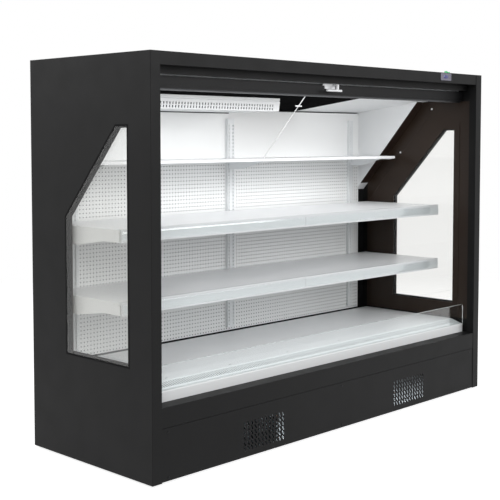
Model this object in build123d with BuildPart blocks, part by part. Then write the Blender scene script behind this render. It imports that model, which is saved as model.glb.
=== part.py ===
"""Open multideck display fridge with a night blind, glazed ends and a plug-in cooling unit.

Millimetres. X runs along the front, Y from the front to the back, Z up.
The origin is on the floor under the middle of the cabinet.
"""

from build123d import *
from math import cos, radians, sin
import os

os.makedirs("parts", exist_ok=True)

# ---------------------------------------------------------------- driving dimensions
# "setback" is measured from the front plane, "drop" down from the top, "rise" up from what is named
# cabinet
width = 1955.0
depth = 675.0
height = 1430.0
wall = 28.0  # insulated end wall
rear_wall = 26.0
sheet = 1.5
outer_sheet = 2.0  # header and front band
foot_height = 8.0
skirt_gap = 6.0  # the rear wall and the plinth panel stay this far above the ends' lower edge
gap = 0.3  # between separate pieces of the cabinet
post_width = 42.0
post_depth = 35.0
edge_radius = 1.5

# header
fascia_height = 44.0
fascia_setback = 1.5
fascia_lip = 14.0
blind_cover_setback = 55.0
blind_cover_drop = 69.0
blind_cover_ledge = 5.0
ceiling_drop = 161.0  # at the rear wall
ceiling_slope = 0.128
header_depth = 134.0
dark_ceiling_end = 430.0

# end window: front edge, rear edge, sill above the deck, head, where the rear edge starts to lean
window_setback = 122.0
window_rear_setback = 463.0
window_rise = 74.0
window_head_drop = 243.0
window_kink_drop = 560.0
window_head_length = 58.0
seal_width = 7.0
seal_overlap = 5.0
glass_thickness = 5.0
glass_inset = 0.6
glass_play = 0.4
trim_width = 30.0
trim_thickness = 2.0

# inner end lining behind the window, with a leaning front edge
lining_face = 59.5  # how far the white lining stands in from the wall
lining_setback = 289.5
lining_drop = 114.0
lining_slope = 1.17
lining_roof_gap = 4.0
cover_rise = 6.0
cover_seam_offset = 82.0
cover_seam_width = 2.0
cover_seam_depth = 0.8
cover_rear_gap = 1.0
turn_in_thickness = 2.1

# rear wall
louvre_x = 560.0
louvre_rise = 100.0
louvre_length = 260.0
louvre_width = 7.0
louvre_pitch = 18.0
louvre_rows = 6
inlet_offset = 75.5  # in from the post
inlet_rise = 120.0
inlet_width = 50.0
inlet_height = 34.0
inlet_depth = 21.0
inlet_recess = 1.0
socket_width = 25.0
socket_height = 17.0
socket_depth = 16.0
socket_corner = 3.0
contact_width = 2.0
contact_height = 6.0
contact_spacing = 7.0
contact_offset = 2.0

# back panels and uprights
back_panel_drop_left = 178.0
back_panel_drop_right = 165.0
back_panel_rise = 4.0
back_panel_setback = 13.5  # air duct behind the back panel
back_panel_corner = 13.0
back_panel_fold_end = 24.0
upright_width = 29.0
middle_upright_width = 40.0
upright_wall = 2.0
upright_depth = 12.7
upright_inset = 120.0  # from the end of the shelves
upright_rise = 18.0
upright_drop = 200.0
slot_pitch = 15.0
slot_height = 8.0
slot_width = 5.0

# shelves
shelf_end_gap = 12.5
shelf_setback = 209.5
low_shelf_rise = 274.0  # above the deck
mid_shelf_rise = 250.0  # above the low shelf
top_shelf_rise = 226.0  # above the mid shelf
shelf_flange = 40.0
shelf_side_front = 44.0
shelf_side_rear = 66.0
shelf_side_taper = 91.0
shelf_side_deep = 232.0
shelf_hole_radius = 2.5
shelf_hole_drop = 9.0
shelf_hole_places = (6.0, 32.0)
top_shelf_setback = 411.5
top_shelf_flange = 11.0
top_shelf_side_rear = 16.0
top_shelf_end_gap = 4.0
shelf_rear_gap = 2.0
bracket_thickness = 3.0
bracket_straight = 60.0
bracket_nose = 8.0
bracket_nose_length = 12.0
bracket_rear_drop = 62.0
bracket_front_drop = 22.0
top_bracket_rear_drop = 44.0
top_bracket_front_drop = 9.0
bracket_offset = 12.0  # of the middle pair from the middle
hook_depth = 6.5
hook_root = 1.5

# ticket rails
rail_thickness = 11.5
rail_height = 47.0
rail_rise = 2.0
rail_groove = 2.4
rail_grooves = (8.0, 37.0)
rail_pocket_depth = 7.0
rail_pocket_margin = 8.0
rail_lip_length = 10.0
rail_lip_thickness = 1.6

# deck
deck_height = 312.0
deck_flange = 14.0
deck_rear_gap = 2.0
bumper_drop = 15.0  # below the deck
bumper_height = 37.0
bumper_setback = 58.0
bumper_depth = 26.0
bumper_end_gap = 4.0
bumper_end_radius = 14.0
bumper_edge_radius = 4.0
grille_run = 47.0
grille_hem = 14.0
grille_slot_pitch = 10.5
grille_slot_width = 5.0
grille_slot_length = 34.0
grille_margin = 20.0
riser_rise = 72.0  # above the deck
riser_thickness = 5.0
riser_setback = 63.0
riser_slot_depth = 11.0
riser_slot_play = 0.25
riser_corner = 9.0
riser_end_gap = 1.0
deck_hole_spacing = 314.0
deck_hole_setback = 155.0
deck_hole_length = 14.0
deck_hole_width = 7.0

# base
plinth_height = 190.0
band_setback = 1.0
band_hem = 12.0
plinth_setback = 2.0
plinth_fold = 14.0
plinth_end_gap = 1.0
plinth_top_gap = 1.0
tub_floor = 40.0
tub_ledge = 8.0
pan_rise = 8.0
pan_thickness = 3.0
vent_offset = 444.0
vent_rise = 32.0
vent_rows = 6
vent_columns = 12
vent_row_pitch = 17.7
vent_column_pitch = 18.3
vent_slot_length = 20.0
vent_slot_width = 6.5
vent_slot_lean = 31.0
screw_inset = 30.5  # in from the post
screw_low = 21.0
screw_high = 175.0
screw_head_radius = 4.0
screw_head_height = 1.2
screw_hole_play = 0.5
front_stay_width = 40.0
front_stay_foot = 50.0
foot_radius = 20.0
foot_pad = 6.0
foot_taper = 12.0
foot_nut_radius = 9.0
foot_end_inset = 70.0
foot_front_inset = 60.0
foot_rear_inset = 50.0

# night blind
blind_setback = 82.0  # plane of the cloth
blind_cloth_thickness = 0.7
blind_roll_radius = 24.0
blind_tube_radius = 16.0
blind_axis_drop = 33.0
blind_end_gap = 22.0  # wall to the end of the tube
blind_cloth_inset = 10.0
blind_roll_inset = 8.0
blind_bracket_thickness = 20.0
blind_bracket_width = 30.0
blind_bracket_height = 40.0
blind_bracket_corner = 5.0
blind_bar_height = 42.0
blind_bar_depth = 12.0
blind_bar_drop = 115.0
blind_bar_end_gap = 5.0
blind_bar_ridge = 3.0
blind_bar_groove = 2.0
blind_bar_groove_rise = 8.0
hem_slot_depth = 3.5
hem_slot_height = 22.0
handle_width = 86.0
handle_above_bar = 2.0
handle_flange_height = 8.0
handle_flange_depth = 7.0
handle_flange_corner = 1.5
handle_body_width = 61.0
handle_body_height = 20.0
handle_plate_depth = 4.0
handle_reach = 26.0
handle_grip_drop = 27.0
handle_grip_size = 8.5
handle_arm_x = 19.0
handle_arm_width = 9.0
handle_arm_root = 10.0
handle_arm_drop = 3.0
handle_top_step = 1.0
pin_radius = 4.0
pin_length = 16.0
running_fit = 0.05

# lamp
lamp_setback = 92.0
lamp_drop = 122.0
lamp_depth = 30.0
lamp_hem = 3.0
lamp_top_gap = 9.0
lamp_bracket_height = 11.0
lamp_bulge = 4.0
lamp_side = 16.0
lamp_end_gap = 8.0
diffuser_setback = 5.0

# air outlet
outlet_setback = 337.5
outlet_drop = 174.0
outlet_lean = 6.0
outlet_groove = 3.0
outlet_groove_drop = 9.0
outlet_groove_chamfer = 1.0
outlet_slot_pitch = 15.0
outlet_slot_width = 6.0
outlet_slot_height = 9.0
outlet_slot_depth = 13.0
outlet_row_pitch = 13.0
outlet_row_rise = 16.0
outlet_margin = 30.0

# controls
controller_width = 79.0
controller_height = 31.0
controller_depth = 42.0
controller_overlap = 4.0
controller_corner = 3.0
controller_offset = 241.0  # in from the post
controller_drop = 18.0
display_recess = 0.9
display_margin_x = 8.0
display_margin_z = 6.0
switch_offset = 145.5  # in from the post
switch_setback = 60.0
switch_width = 27.0
switch_depth = 14.0
switch_proud = 12.0
switch_tilt = 8.0
switch_pin_radius = 1.5
switch_pin_depth = 4.0
switch_wall = 2.0
switch_flange = (7.0, 11.0)
switch_body_depth = 22.0
rocker_play = 1.5
rocker_keel = 5.0
rocker_hollow = 3.0
rocker_side_play = 0.5

# stay
stay_radius = 2.0
stay_end_radius = 4.0
stay_x = -10.0
stay_top_setback = 182.5
stay_bottom_inset = 7.0
toggle_length = 36.0
toggle_radius = 2.6
toggle_place = 0.19  # share of the stay's length from its top

# cooling unit
unit_clearance = 7.0  # between the fan shroud and the tub
shroud_inset = 8.0  # fan tip to the shroud's edge
shroud_depth = 34.0
shroud_tip_gap = 4.0
shroud_corner = 8.0
fan_hub_radius = 22.0
fan_depth = 26.0
fan_blades = 5
fan_pitch_angle = 30.0
fan_blade_thickness = 1.8
fan_blade_root = 3.0  # how far a blade starts inside the hub
fan_blade_trim = 6.0  # cut off it at the tip circle
fan_hub_margin = 1.0
fan_motor_gap = 2.0
motor_radius = 24.0
motor_length = 34.0
strut_width = 8.0
strut_end_gap = 2.0
shaft_radius = 3.0
condenser_x = -446.0
condenser_setback = 30.0
condenser_depth = 44.0
condenser_clearance = 21.0
condenser_width = 230.0
condenser_fins = 14
coil_tube_radius = 4.5
coil_end_plate = 2.0
coil_fin_thickness = 1.2
compressor_x = 360.0
compressor_y = 60.0
compressor_radius = 58.0
compressor_length = 250.0
compressor_dome = 24.0
compressor_foot_height = 14.0
compressor_foot_offset = 80.0
compressor_foot_width = 24.0
compressor_foot_thickness = 4.0
compressor_foot_length = 128.0
compressor_web_length = 92.0
terminal_box_length = 70.0
terminal_box_width = 56.0
terminal_box_corner = 6.0
terminal_box_top = 70.0  # above the compressor's axis
pipe_stub_radius = 5.0
pipe_stub_length = 30.0
pipe_stub_spacing = 36.0
evaporator_length = 1240.0
evaporator_depth = 200.0
evaporator_y = 40.0
evaporator_clearance = 11.7
evaporator_fins = 20
fan_plate_y = -110.0
fan_plate_end_gap = 2.0
evaporator_fan_radius = 30.0
evaporator_fan_tip_gap = 2.5
evaporator_fan_hub = 11.0
evaporator_fan_depth = 12.0
evaporator_fan_x = 450.0
evaporator_strut_length = 76.0
evaporator_strut_width = 8.0
evaporator_motor_radius = 13.0
evaporator_motor_length = 18.0
evaporator_shaft_radius = 2.0
evaporator_shaft_length = 16.0

# ---------------------------------------------------------------- derived places
y_front = -depth / 2
y_back = depth / 2
x_out = width / 2
x_wall = x_out - wall
x_post = x_out - post_width
x_lining = x_wall - lining_face
y_post = y_front + post_depth
y_rear_wall = y_back - rear_wall
y_back_panel = y_rear_wall - back_panel_setback
y_upright = y_back_panel - upright_depth
header_rear_y = y_front + header_depth
soffit = height - fascia_height
ceiling_rear_height = height - ceiling_drop
lining_top_y = y_front + lining_setback
lining_top_z = height - lining_drop

window_sill = deck_height + window_rise
window_head = height - window_head_drop
window_kink = height - window_kink_drop

bumper_top = deck_height - bumper_drop
bumper_bottom = bumper_top - bumper_height
bumper_half = x_wall - bumper_end_gap
bumper_rear_y = y_front + bumper_setback + bumper_depth
deck_front_y = bumper_rear_y + grille_run
deck_rear_y = y_upright - deck_rear_gap

shelf_end = x_wall - shelf_end_gap
shelf_front_y = y_front + shelf_setback
low_shelf_top = deck_height + low_shelf_rise
mid_shelf_top = low_shelf_top + mid_shelf_rise
top_shelf_top = mid_shelf_top + top_shelf_rise
top_shelf_front_y = y_front + top_shelf_setback

blind_y = y_front + blind_setback
roller_y = blind_y + blind_roll_radius
blind_axis_height = height - blind_axis_drop
blind_bar_bottom = height - blind_bar_drop
blind_bar_top = blind_bar_bottom + blind_bar_height

controller_x = x_post - controller_offset
controller_z = height - controller_drop
switch_x = x_post - switch_offset
switch_y = y_front + switch_setback

pan_z = foot_height + pan_rise
unit_floor = pan_z + pan_thickness
tub_bottom = plinth_height + gap
tub_floor_top = tub_bottom + tub_floor


def ceiling_height(y):
    """Underside of the sloping ceiling at a distance y from the middle."""
    return ceiling_rear_height + (y_rear_wall - y) * ceiling_slope


def lining_edge_y(z):
    """Leaning front edge of the white end lining at height z."""
    return lining_top_y + (lining_top_z - z) / lining_slope


def lining_edge_z(y):
    """Height of the lining's leaning edge at a distance y from the middle."""
    return lining_top_z - (y - lining_top_y) * lining_slope


cover_top = min(ceiling_height(y_post + gap) - gap, ceiling_height(lining_top_y))


def save(part, name):
    part.label = name
    export_step(part, f"parts/{name}.step")


def yz(x):
    """Sketch plane across the cabinet at x: local X is the cabinet's Y, local Y is its Z."""
    return Plane(origin=(x, 0, 0), x_dir=(0, 1, 0), z_dir=(1, 0, 0))


def xz(y):
    """Upright sketch plane at y, drawn as seen from the front. It extrudes towards the front."""
    return Plane(origin=(0, y, 0), x_dir=(1, 0, 0), z_dir=(0, -1, 0))


def window_outline(grow=0.0):
    """The end window's five-sided outline, on a plane made by yz()."""
    front = y_front + window_setback
    rear = y_front + window_rear_setback
    with BuildSketch(mode=Mode.PRIVATE) as outline:
        Polygon(
            (front, window_sill),
            (rear, window_sill),
            (rear, window_kink),
            (front + window_head_length, window_head),
            (front, window_head),
            align=None,
        )
        if grow:
            offset(amount=grow, kind=Kind.INTERSECTION)
    return outline.sketch


def end_name(side):
    return "left" if side < 0 else "right"


# ---------------------------------------------------------------- end panels and windows
for side in (-1, 1):
    inner = x_wall if side > 0 else -x_out
    post_inner = x_post if side > 0 else -x_out

    with BuildPart() as side_panel:
        with BuildSketch(yz(inner)):
            with Locations((0, (height + foot_height) / 2)):
                Rectangle(depth, height - foot_height)
            add(window_outline(seal_width), mode=Mode.SUBTRACT)
        extrude(amount=wall)
        with BuildSketch(yz(post_inner)):
            with Locations((y_front + post_depth / 2, (height + foot_height) / 2)):
                Rectangle(post_depth, height - foot_height)
        extrude(amount=post_width)
        outer_edges = side_panel.edges().filter_by(Axis.Z)
        outer_edges = outer_edges.group_by(Axis.X)[-1 if side > 0 else 0]
        fillet(outer_edges.filter_by(lambda e: e.length > height / 2), edge_radius)
    save(side_panel.part, f"side_panel_{end_name(side)}")

    # double glazing: an outer and an inner pane
    inner_pane = inner + wall - glass_inset - glass_thickness
    with BuildPart() as window:
        with BuildSketch(yz(inner + glass_inset), yz(inner_pane)):
            add(window_outline(-glass_play))
        extrude(amount=glass_thickness)
    save(window.part, f"window_{end_name(side)}")

    # rubber channel that holds both panes, with a spacer between them
    spacer_inset = glass_inset + glass_thickness + gap
    with BuildPart() as seal:
        with BuildSketch(yz(inner)):
            add(window_outline(seal_width - gap))
            add(window_outline(), mode=Mode.SUBTRACT)
        extrude(amount=wall)
        with BuildSketch(yz(inner + spacer_inset)):
            add(window_outline(glass_play))
            add(window_outline(-seal_overlap), mode=Mode.SUBTRACT)
        extrude(amount=wall - 2 * spacer_inset)
    save(seal.part, f"window_seal_{end_name(side)}")

    # black inner cover round the window, which turns in along the leaning edge of the lining
    face = x_wall - gap - sheet if side > 0 else -x_wall + gap
    turn_in = x_lining if side > 0 else -x_wall + gap
    cover_front = y_post + gap
    cover_rear = y_upright - cover_rear_gap
    cover_bottom = deck_height + cover_rise
    cover_corner_y = lining_edge_y(cover_top) - gap
    with BuildPart() as cover:
        with BuildSketch(yz(face)):
            Polygon(
                (cover_front, cover_bottom),
                (cover_rear, cover_bottom),
                (cover_rear, lining_edge_z(cover_rear)),
                (cover_corner_y, cover_top),
                (cover_front, cover_top),
                align=None,
            )
            add(window_outline(), mode=Mode.SUBTRACT)
        extrude(amount=sheet)
        # glazing frame, proud of the cover
        with BuildSketch(yz(face - trim_thickness if side > 0 else face + sheet)):
            add(window_outline(trim_width))
            add(window_outline(), mode=Mode.SUBTRACT)
        extrude(amount=trim_thickness)
        # turned-in edge in front of the lining
        with BuildSketch(yz(turn_in)):
            Polygon(
                (cover_rear, lining_edge_z(cover_rear)),
                (cover_corner_y, cover_top),
                (cover_corner_y - turn_in_thickness, cover_top),
                (cover_rear - turn_in_thickness, lining_edge_z(cover_rear)),
                align=None,
            )
        extrude(amount=lining_face - gap)
        # seam between the two sheets of the cover
        seam_top_y = lining_edge_y(cover_top) - cover_seam_offset
        with BuildSketch(yz(face if side > 0 else face + sheet - cover_seam_depth)):
            with BuildLine():
                Line((seam_top_y, cover_top), (cover_rear, lining_edge_z(cover_rear + cover_seam_offset)))
            trace(line_width=cover_seam_width)
        extrude(amount=cover_seam_depth, mode=Mode.SUBTRACT)
    save(cover.part, f"side_cover_{end_name(side)}")

    # white insulated lining behind the leaning edge
    lining_start = x_lining if side > 0 else -x_wall + gap
    lining_back = y_rear_wall - gap
    lining_roof = height - lining_roof_gap
    with BuildPart() as lining:
        with BuildSketch(yz(lining_start)):
            Polygon(
                (lining_back, lining_edge_z(lining_back)),
                (lining_back, lining_roof),
                (lining_edge_y(cover_top), lining_roof),
                (lining_edge_y(cover_top), cover_top),
                align=None,
            )
        extrude(amount=lining_face - gap)
    save(lining.part, f"side_lining_{end_name(side)}")

# ---------------------------------------------------------------- rear wall
inlet_place = (x_post - inlet_offset, inlet_rise)
with BuildPart() as rear_panel:
    with BuildSketch(Plane.XY.offset(foot_height + skirt_gap)):
        with Locations((0, y_back - rear_wall / 2)):
            Rectangle(2 * (x_wall - gap), rear_wall)
    extrude(amount=height - foot_height - skirt_gap)
    with BuildSketch(xz(y_back)):
        with Locations((-louvre_x, louvre_rise), (louvre_x, louvre_rise)):
            with GridLocations(0, louvre_pitch, 1, louvre_rows):
                SlotOverall(louvre_length, louvre_width)
        with Locations(inlet_place):
            Rectangle(inlet_width, inlet_height)
    extrude(amount=rear_wall, mode=Mode.SUBTRACT)
save(rear_panel.part, "rear_panel")

# mains inlet: a recessed three-pin socket, just inside the rear wall's face
inlet_y = y_back - inlet_recess
contact_places = (
    (-contact_spacing, -contact_offset),
    (0, contact_offset),
    (contact_spacing, -contact_offset),
)
with BuildPart() as power_inlet:
    with BuildSketch(xz(inlet_y)):
        with Locations(inlet_place):
            Rectangle(inlet_width - 2 * gap, inlet_height - 2 * gap)
    extrude(amount=inlet_depth)
    with BuildSketch(xz(inlet_y)):
        with Locations(inlet_place):
            RectangleRounded(socket_width, socket_height, socket_corner)
    extrude(amount=socket_depth, mode=Mode.SUBTRACT)
    with BuildSketch(xz(inlet_y - contact_width)):
        with Locations(inlet_place):
            with Locations(*contact_places):
                Rectangle(contact_width, contact_height)
    extrude(amount=socket_depth)
save(power_inlet.part, "power_inlet")

# ---------------------------------------------------------------- header
cover_y = y_front + blind_cover_setback
fascia_y = y_front + fascia_setback
roof_rear_y = y_rear_wall - gap
soffit_z = soffit + outer_sheet + 1.0

# top sheet with the fascia and its lip
with BuildPart() as canopy:
    with BuildSketch(yz(-x_wall + gap)):
        with Locations((fascia_y, height)):
            Rectangle(roof_rear_y - fascia_y, outer_sheet, align=(Align.MIN, Align.MAX))
    extrude(amount=2 * (x_wall - gap))
    with BuildSketch(yz(-x_post + gap)):
        with Locations((fascia_y, soffit)):
            Rectangle(outer_sheet, fascia_height, align=(Align.MIN, Align.MIN))
            Rectangle(fascia_lip, outer_sheet, align=(Align.MIN, Align.MIN))
    extrude(amount=2 * (x_post - gap))
    # notches in the top sheet round the posts, and the opening for the switch
    with BuildSketch(Plane.XY.offset(height)):
        with Locations((-x_out, y_front), (x_out, y_front)):
            Rectangle(2 * (post_width + gap), 2 * (post_depth + gap))
        with Locations((switch_x, switch_y)):
            Rectangle(
                switch_width + 2 * switch_wall + 2 * gap,
                switch_depth + 2 * switch_wall + 2 * gap,
            )
    extrude(amount=-2 * outer_sheet, mode=Mode.SUBTRACT)
    # opening for the controller
    with BuildSketch(xz(y_front)):
        with Locations((controller_x, controller_z)):
            Rectangle(controller_width - 2 * controller_overlap, controller_height - 2 * controller_overlap)
    extrude(amount=-fascia_setback - 2 * outer_sheet, mode=Mode.SUBTRACT)
save(canopy.part, "canopy")

# blind cover: soffit behind the fascia lip, then down to the ledge
blind_cover_bottom = height - blind_cover_drop
soffit_front_y = fascia_y + 2 * outer_sheet
with BuildPart() as blind_cover:
    with BuildSketch(yz(-x_wall + gap)):
        with BuildLine():
            Polyline(
                (y_post + 1.0, soffit_z),
                (cover_y, soffit_z),
                (cover_y, blind_cover_bottom),
                (cover_y + blind_cover_ledge, blind_cover_bottom),
            )
        trace(line_width=outer_sheet)
    extrude(amount=2 * (x_wall - gap))
    # the soffit runs on between the posts and rests on the fascia lip
    with BuildSketch(yz(-x_post + gap)):
        with Locations((soffit_front_y, soffit_z)):
            Rectangle(y_post + outer_sheet - soffit_front_y, outer_sheet, align=(Align.MIN, Align.CENTER))
    extrude(amount=2 * (x_post - gap))
save(blind_cover.part, "blind_cover")

# insulated roof: a slab with a sloping underside, notched at the rear for the linings
roof_top = height - outer_sheet - gap
notch_front_y = lining_edge_y(cover_top) - 4.0


def roof_slab(x_low, x_high):
    """Roof slab between two x, from the header back to the rear wall."""
    with BuildPart() as slab:
        with BuildSketch(yz(x_low)):
            Polygon(
                (header_rear_y, ceiling_height(header_rear_y)),
                (roof_rear_y, ceiling_height(roof_rear_y)),
                (roof_rear_y, roof_top),
                (header_rear_y, roof_top),
                align=None,
            )
        extrude(amount=x_high - x_low)
        with BuildSketch(Plane.XY.offset(height)):
            for x in (-x_wall, x_wall):
                with Locations((x, notch_front_y)):
                    Rectangle(2 * (lining_face + 2 * gap), depth, align=(Align.CENTER, Align.MIN))
        extrude(amount=-height, mode=Mode.SUBTRACT)
    return slab.part


save(roof_slab(-x_wall + gap, dark_ceiling_end), "ceiling_dark")
save(roof_slab(dark_ceiling_end + gap, x_wall - gap), "ceiling_light")

# air outlet box under the left half of the ceiling, with a groove along its upper edge
outlet_y = y_front + outlet_setback
outlet_bottom = height - outlet_drop
outlet_x_low = -x_lining + gap
outlet_length = -gap - outlet_x_low
outlet_top = ceiling_height(outlet_y)
groove_top = outlet_top - outlet_groove_drop
groove_bottom = groove_top - outlet_groove - 2 * outlet_groove_chamfer
with BuildPart() as air_outlet:
    with BuildSketch(yz(outlet_x_low)):
        Polygon(
            (outlet_y + outlet_lean, outlet_bottom),
            (roof_rear_y, outlet_bottom),
            (roof_rear_y, ceiling_height(roof_rear_y) - gap),
            (outlet_y, outlet_top - gap),
            (outlet_y, groove_top),
            (outlet_y + outlet_groove, groove_top - outlet_groove_chamfer),
            (outlet_y + outlet_groove, groove_bottom + outlet_groove_chamfer),
            (outlet_y, groove_bottom),
            align=None,
        )
    extrude(amount=outlet_length)
    # air slots
    outlet_slots = int((outlet_length - 2 * outlet_margin) // outlet_slot_pitch)
    with BuildSketch(xz(outlet_y)):
        with Locations((outlet_x_low + outlet_length / 2, outlet_bottom + outlet_row_rise)):
            with GridLocations(outlet_slot_pitch, outlet_row_pitch, outlet_slots, 2):
                Rectangle(outlet_slot_width, outlet_slot_height)
    extrude(amount=-outlet_slot_depth, mode=Mode.SUBTRACT)
save(air_outlet.part, "air_outlet")

# lamp: aluminium carrier hung on the roof's front face, with a diffuser
lamp_y = y_front + lamp_setback
lamp_face_y = lamp_y + outer_sheet / 2
lamp_bottom = height - lamp_drop
lamp_top = ceiling_height(header_rear_y)
lamp_half = x_wall - sheet - 3 * gap
lamp_hook_y = header_rear_y - outer_sheet / 2 - gap
with BuildPart() as lamp_profile:
    with BuildSketch(yz(-lamp_half)):
        with BuildLine():
            Polyline(
                (lamp_face_y + lamp_hem, lamp_bottom + outer_sheet / 2),
                (lamp_face_y, lamp_bottom + outer_sheet / 2),
                (lamp_face_y, lamp_top + lamp_top_gap),
                (lamp_hook_y, lamp_top + lamp_top_gap),
                (lamp_hook_y, lamp_top + lamp_top_gap + lamp_bracket_height),
            )
        trace(line_width=outer_sheet)
    extrude(amount=2 * lamp_half)
save(lamp_profile.part, "lamp_profile")

diffuser_front = lamp_y + diffuser_setback
diffuser_rear = diffuser_front + lamp_depth
diffuser_top = lamp_top + lamp_top_gap - outer_sheet / 2 - gap
diffuser_low = diffuser_top - lamp_side
with BuildPart() as lamp_diffuser:
    with BuildSketch(yz(-x_wall + lamp_end_gap)):
        with BuildLine():
            Polyline(
                (diffuser_front, diffuser_low),
                (diffuser_front, diffuser_top),
                (diffuser_rear, diffuser_top),
                (diffuser_rear, lamp_top),
            )
            ThreePointArc(
                (diffuser_front, diffuser_low),
                ((diffuser_front + diffuser_rear) / 2, diffuser_low - lamp_bulge),
                (diffuser_rear, lamp_top),
            )
        make_face()
    extrude(amount=2 * (x_wall - lamp_end_gap))
save(lamp_diffuser.part, "lamp_diffuser")

# ---------------------------------------------------------------- night blind
roller_half = x_wall - blind_end_gap
with BuildPart() as blind_roller:
    for radius, half in (
        (blind_tube_radius, roller_half),
        (blind_roll_radius - gap, roller_half - blind_roll_inset),
        (pin_radius, roller_half + pin_length),
    ):
        with BuildSketch(Plane.YZ.offset(-half)):
            with Locations((roller_y, blind_axis_height)):
                Circle(radius)
        extrude(amount=2 * half)
save(blind_roller.part, "blind_roller")

# end brackets on the walls, with the bores that the roller's pins turn in
with BuildPart() as blind_brackets:
    with BuildSketch(yz(-x_wall + gap), yz(x_wall - gap - blind_bracket_thickness)):
        with Locations((roller_y, blind_axis_height)):
            RectangleRounded(blind_bracket_width, blind_bracket_height, blind_bracket_corner)
            Circle(pin_radius + running_fit, mode=Mode.SUBTRACT)
    extrude(amount=blind_bracket_thickness)
save(blind_brackets.part, "blind_brackets")

with BuildPart() as blind_cloth:
    with BuildSketch(Plane.XY.offset(blind_bar_top)):
        with Locations((0, blind_y - blind_cloth_thickness / 2)):
            Rectangle(2 * (roller_half - blind_cloth_inset), blind_cloth_thickness)
    extrude(amount=blind_axis_height - blind_bar_top)
save(blind_cloth.part, "blind_cloth")

# bottom bar: an aluminium section with a slot for the hem and a ridge along its lower edge
bar_front = blind_y - blind_bar_depth / 2
bar_half = x_wall - blind_bar_end_gap
with BuildPart() as blind_bar:
    with BuildSketch(yz(-bar_half)):
        with Locations((bar_front, blind_bar_bottom)):
            Rectangle(blind_bar_depth, blind_bar_height, align=(Align.MIN, Align.MIN))
            Rectangle(blind_bar_ridge, blind_bar_ridge, align=(Align.MAX, Align.MIN))
        with Locations((bar_front, blind_bar_bottom + blind_bar_groove_rise)):
            Rectangle(blind_bar_groove, blind_bar_groove, mode=Mode.SUBTRACT)
        with Locations((bar_front + blind_bar_depth, blind_bar_bottom + blind_bar_height / 2)):
            Rectangle(2 * hem_slot_depth, hem_slot_height, mode=Mode.SUBTRACT)
    extrude(amount=2 * bar_half)
save(blind_bar.part, "blind_bar")

# moulded handle: a T-shaped plate on the bar and one arm that carries the grip
handle_top = blind_bar_top + handle_above_bar
plate_top = handle_top - handle_top_step
grip_front = bar_front - handle_reach - handle_grip_size / 2
grip_rear = grip_front + handle_grip_size
grip_z = handle_top - handle_grip_drop
with BuildPart() as blind_handle:
    with BuildSketch(xz(bar_front)) as flange:
        with Locations((0, handle_top)):
            Rectangle(handle_width, handle_flange_height, align=(Align.CENTER, Align.MAX))
        fillet(flange.vertices(), handle_flange_corner)
    extrude(amount=handle_flange_depth)
    with BuildSketch(xz(bar_front)):
        with Locations((0, plate_top)):
            Rectangle(
                handle_body_width,
                handle_body_height - handle_top_step,
                align=(Align.CENTER, Align.MAX),
            )
    extrude(amount=handle_plate_depth)
    with BuildSketch(yz(handle_arm_x)):
        Polygon(
            (bar_front, plate_top),
            (grip_front, handle_top - handle_arm_drop),
            (grip_front, grip_z),
            (grip_rear, grip_z),
            (grip_rear + handle_top_step, handle_top - handle_flange_height),
            (bar_front, plate_top - handle_arm_root),
            align=None,
        )
    extrude(amount=handle_arm_width / 2, both=True)
    with BuildSketch(yz(-handle_width / 2)):
        with Locations(((grip_front + grip_rear) / 2, grip_z)):
            RectangleRounded(handle_grip_size, handle_grip_size, handle_grip_size * 0.35)
    extrude(amount=handle_width)
save(blind_handle.part, "blind_handle")

# ---------------------------------------------------------------- back panels and uprights
back_panel_bottom = deck_height + back_panel_rise
for side, drop in ((-1, back_panel_drop_left), (1, back_panel_drop_right)):
    low = gap if side > 0 else -x_lining + gap
    panel_length = x_lining - 2 * gap
    panel_height = height - drop - back_panel_bottom
    with BuildPart() as back_panel:
        with BuildSketch(xz(y_back_panel)) as back_outline:
            with Locations((low, back_panel_bottom)):
                Rectangle(panel_length, panel_height, align=(Align.MIN, Align.MIN))
            if side > 0:
                fillet(back_outline.vertices().group_by(Axis.Y)[-1].sort_by(Axis.X)[-1], back_panel_corner)
        extrude(amount=-sheet)
        # folded edges that stand the panel off the rear wall
        with BuildSketch(xz(y_back_panel + sheet)):
            with Locations((low, back_panel_bottom)):
                Rectangle(panel_length, sheet, align=(Align.MIN, Align.MIN))
            with Locations((low, back_panel_bottom), (low + panel_length - sheet, back_panel_bottom)):
                Rectangle(sheet, panel_height - back_panel_fold_end, align=(Align.MIN, Align.MIN))
        extrude(amount=-(back_panel_setback - sheet - gap))
    save(back_panel.part, f"back_panel_{end_name(side)}")

# uprights: channels with slots for the shelf brackets' hooks, two columns in the middle one
upright_bottom = deck_height + upright_rise
upright_top = height - upright_drop
upright_x = shelf_end - upright_inset
bracket_places = (-upright_x, -bracket_offset, bracket_offset, upright_x)
slot_first = upright_bottom + slot_pitch
slot_rows = int((upright_top - slot_first - slot_pitch) // slot_pitch)
with BuildPart() as uprights:
    with BuildSketch(Plane.XY.offset(upright_bottom)):
        for x, across in (
            (-upright_x, upright_width),
            (0, middle_upright_width),
            (upright_x, upright_width),
        ):
            with Locations((x, y_upright)):
                Rectangle(across, upright_depth, align=(Align.CENTER, Align.MIN))
            with Locations((x, y_upright + upright_wall)):
                Rectangle(
                    across - 2 * upright_wall,
                    upright_depth,
                    align=(Align.CENTER, Align.MIN),
                    mode=Mode.SUBTRACT,
                )
    extrude(amount=upright_top - upright_bottom)
    with BuildSketch(xz(y_upright)):
        for x in bracket_places:
            with Locations((x, slot_first + (slot_rows - 1) * slot_pitch / 2)):
                with GridLocations(0, slot_pitch, 1, slot_rows):
                    Rectangle(slot_width, slot_height)
    extrude(amount=-upright_wall, mode=Mode.SUBTRACT)
save(uprights.part, "uprights")


def nearest_slot(z):
    """Height of the middle of the upright's slot nearest to z."""
    return slot_first + round((z - slot_first) / slot_pitch) * slot_pitch


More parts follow.
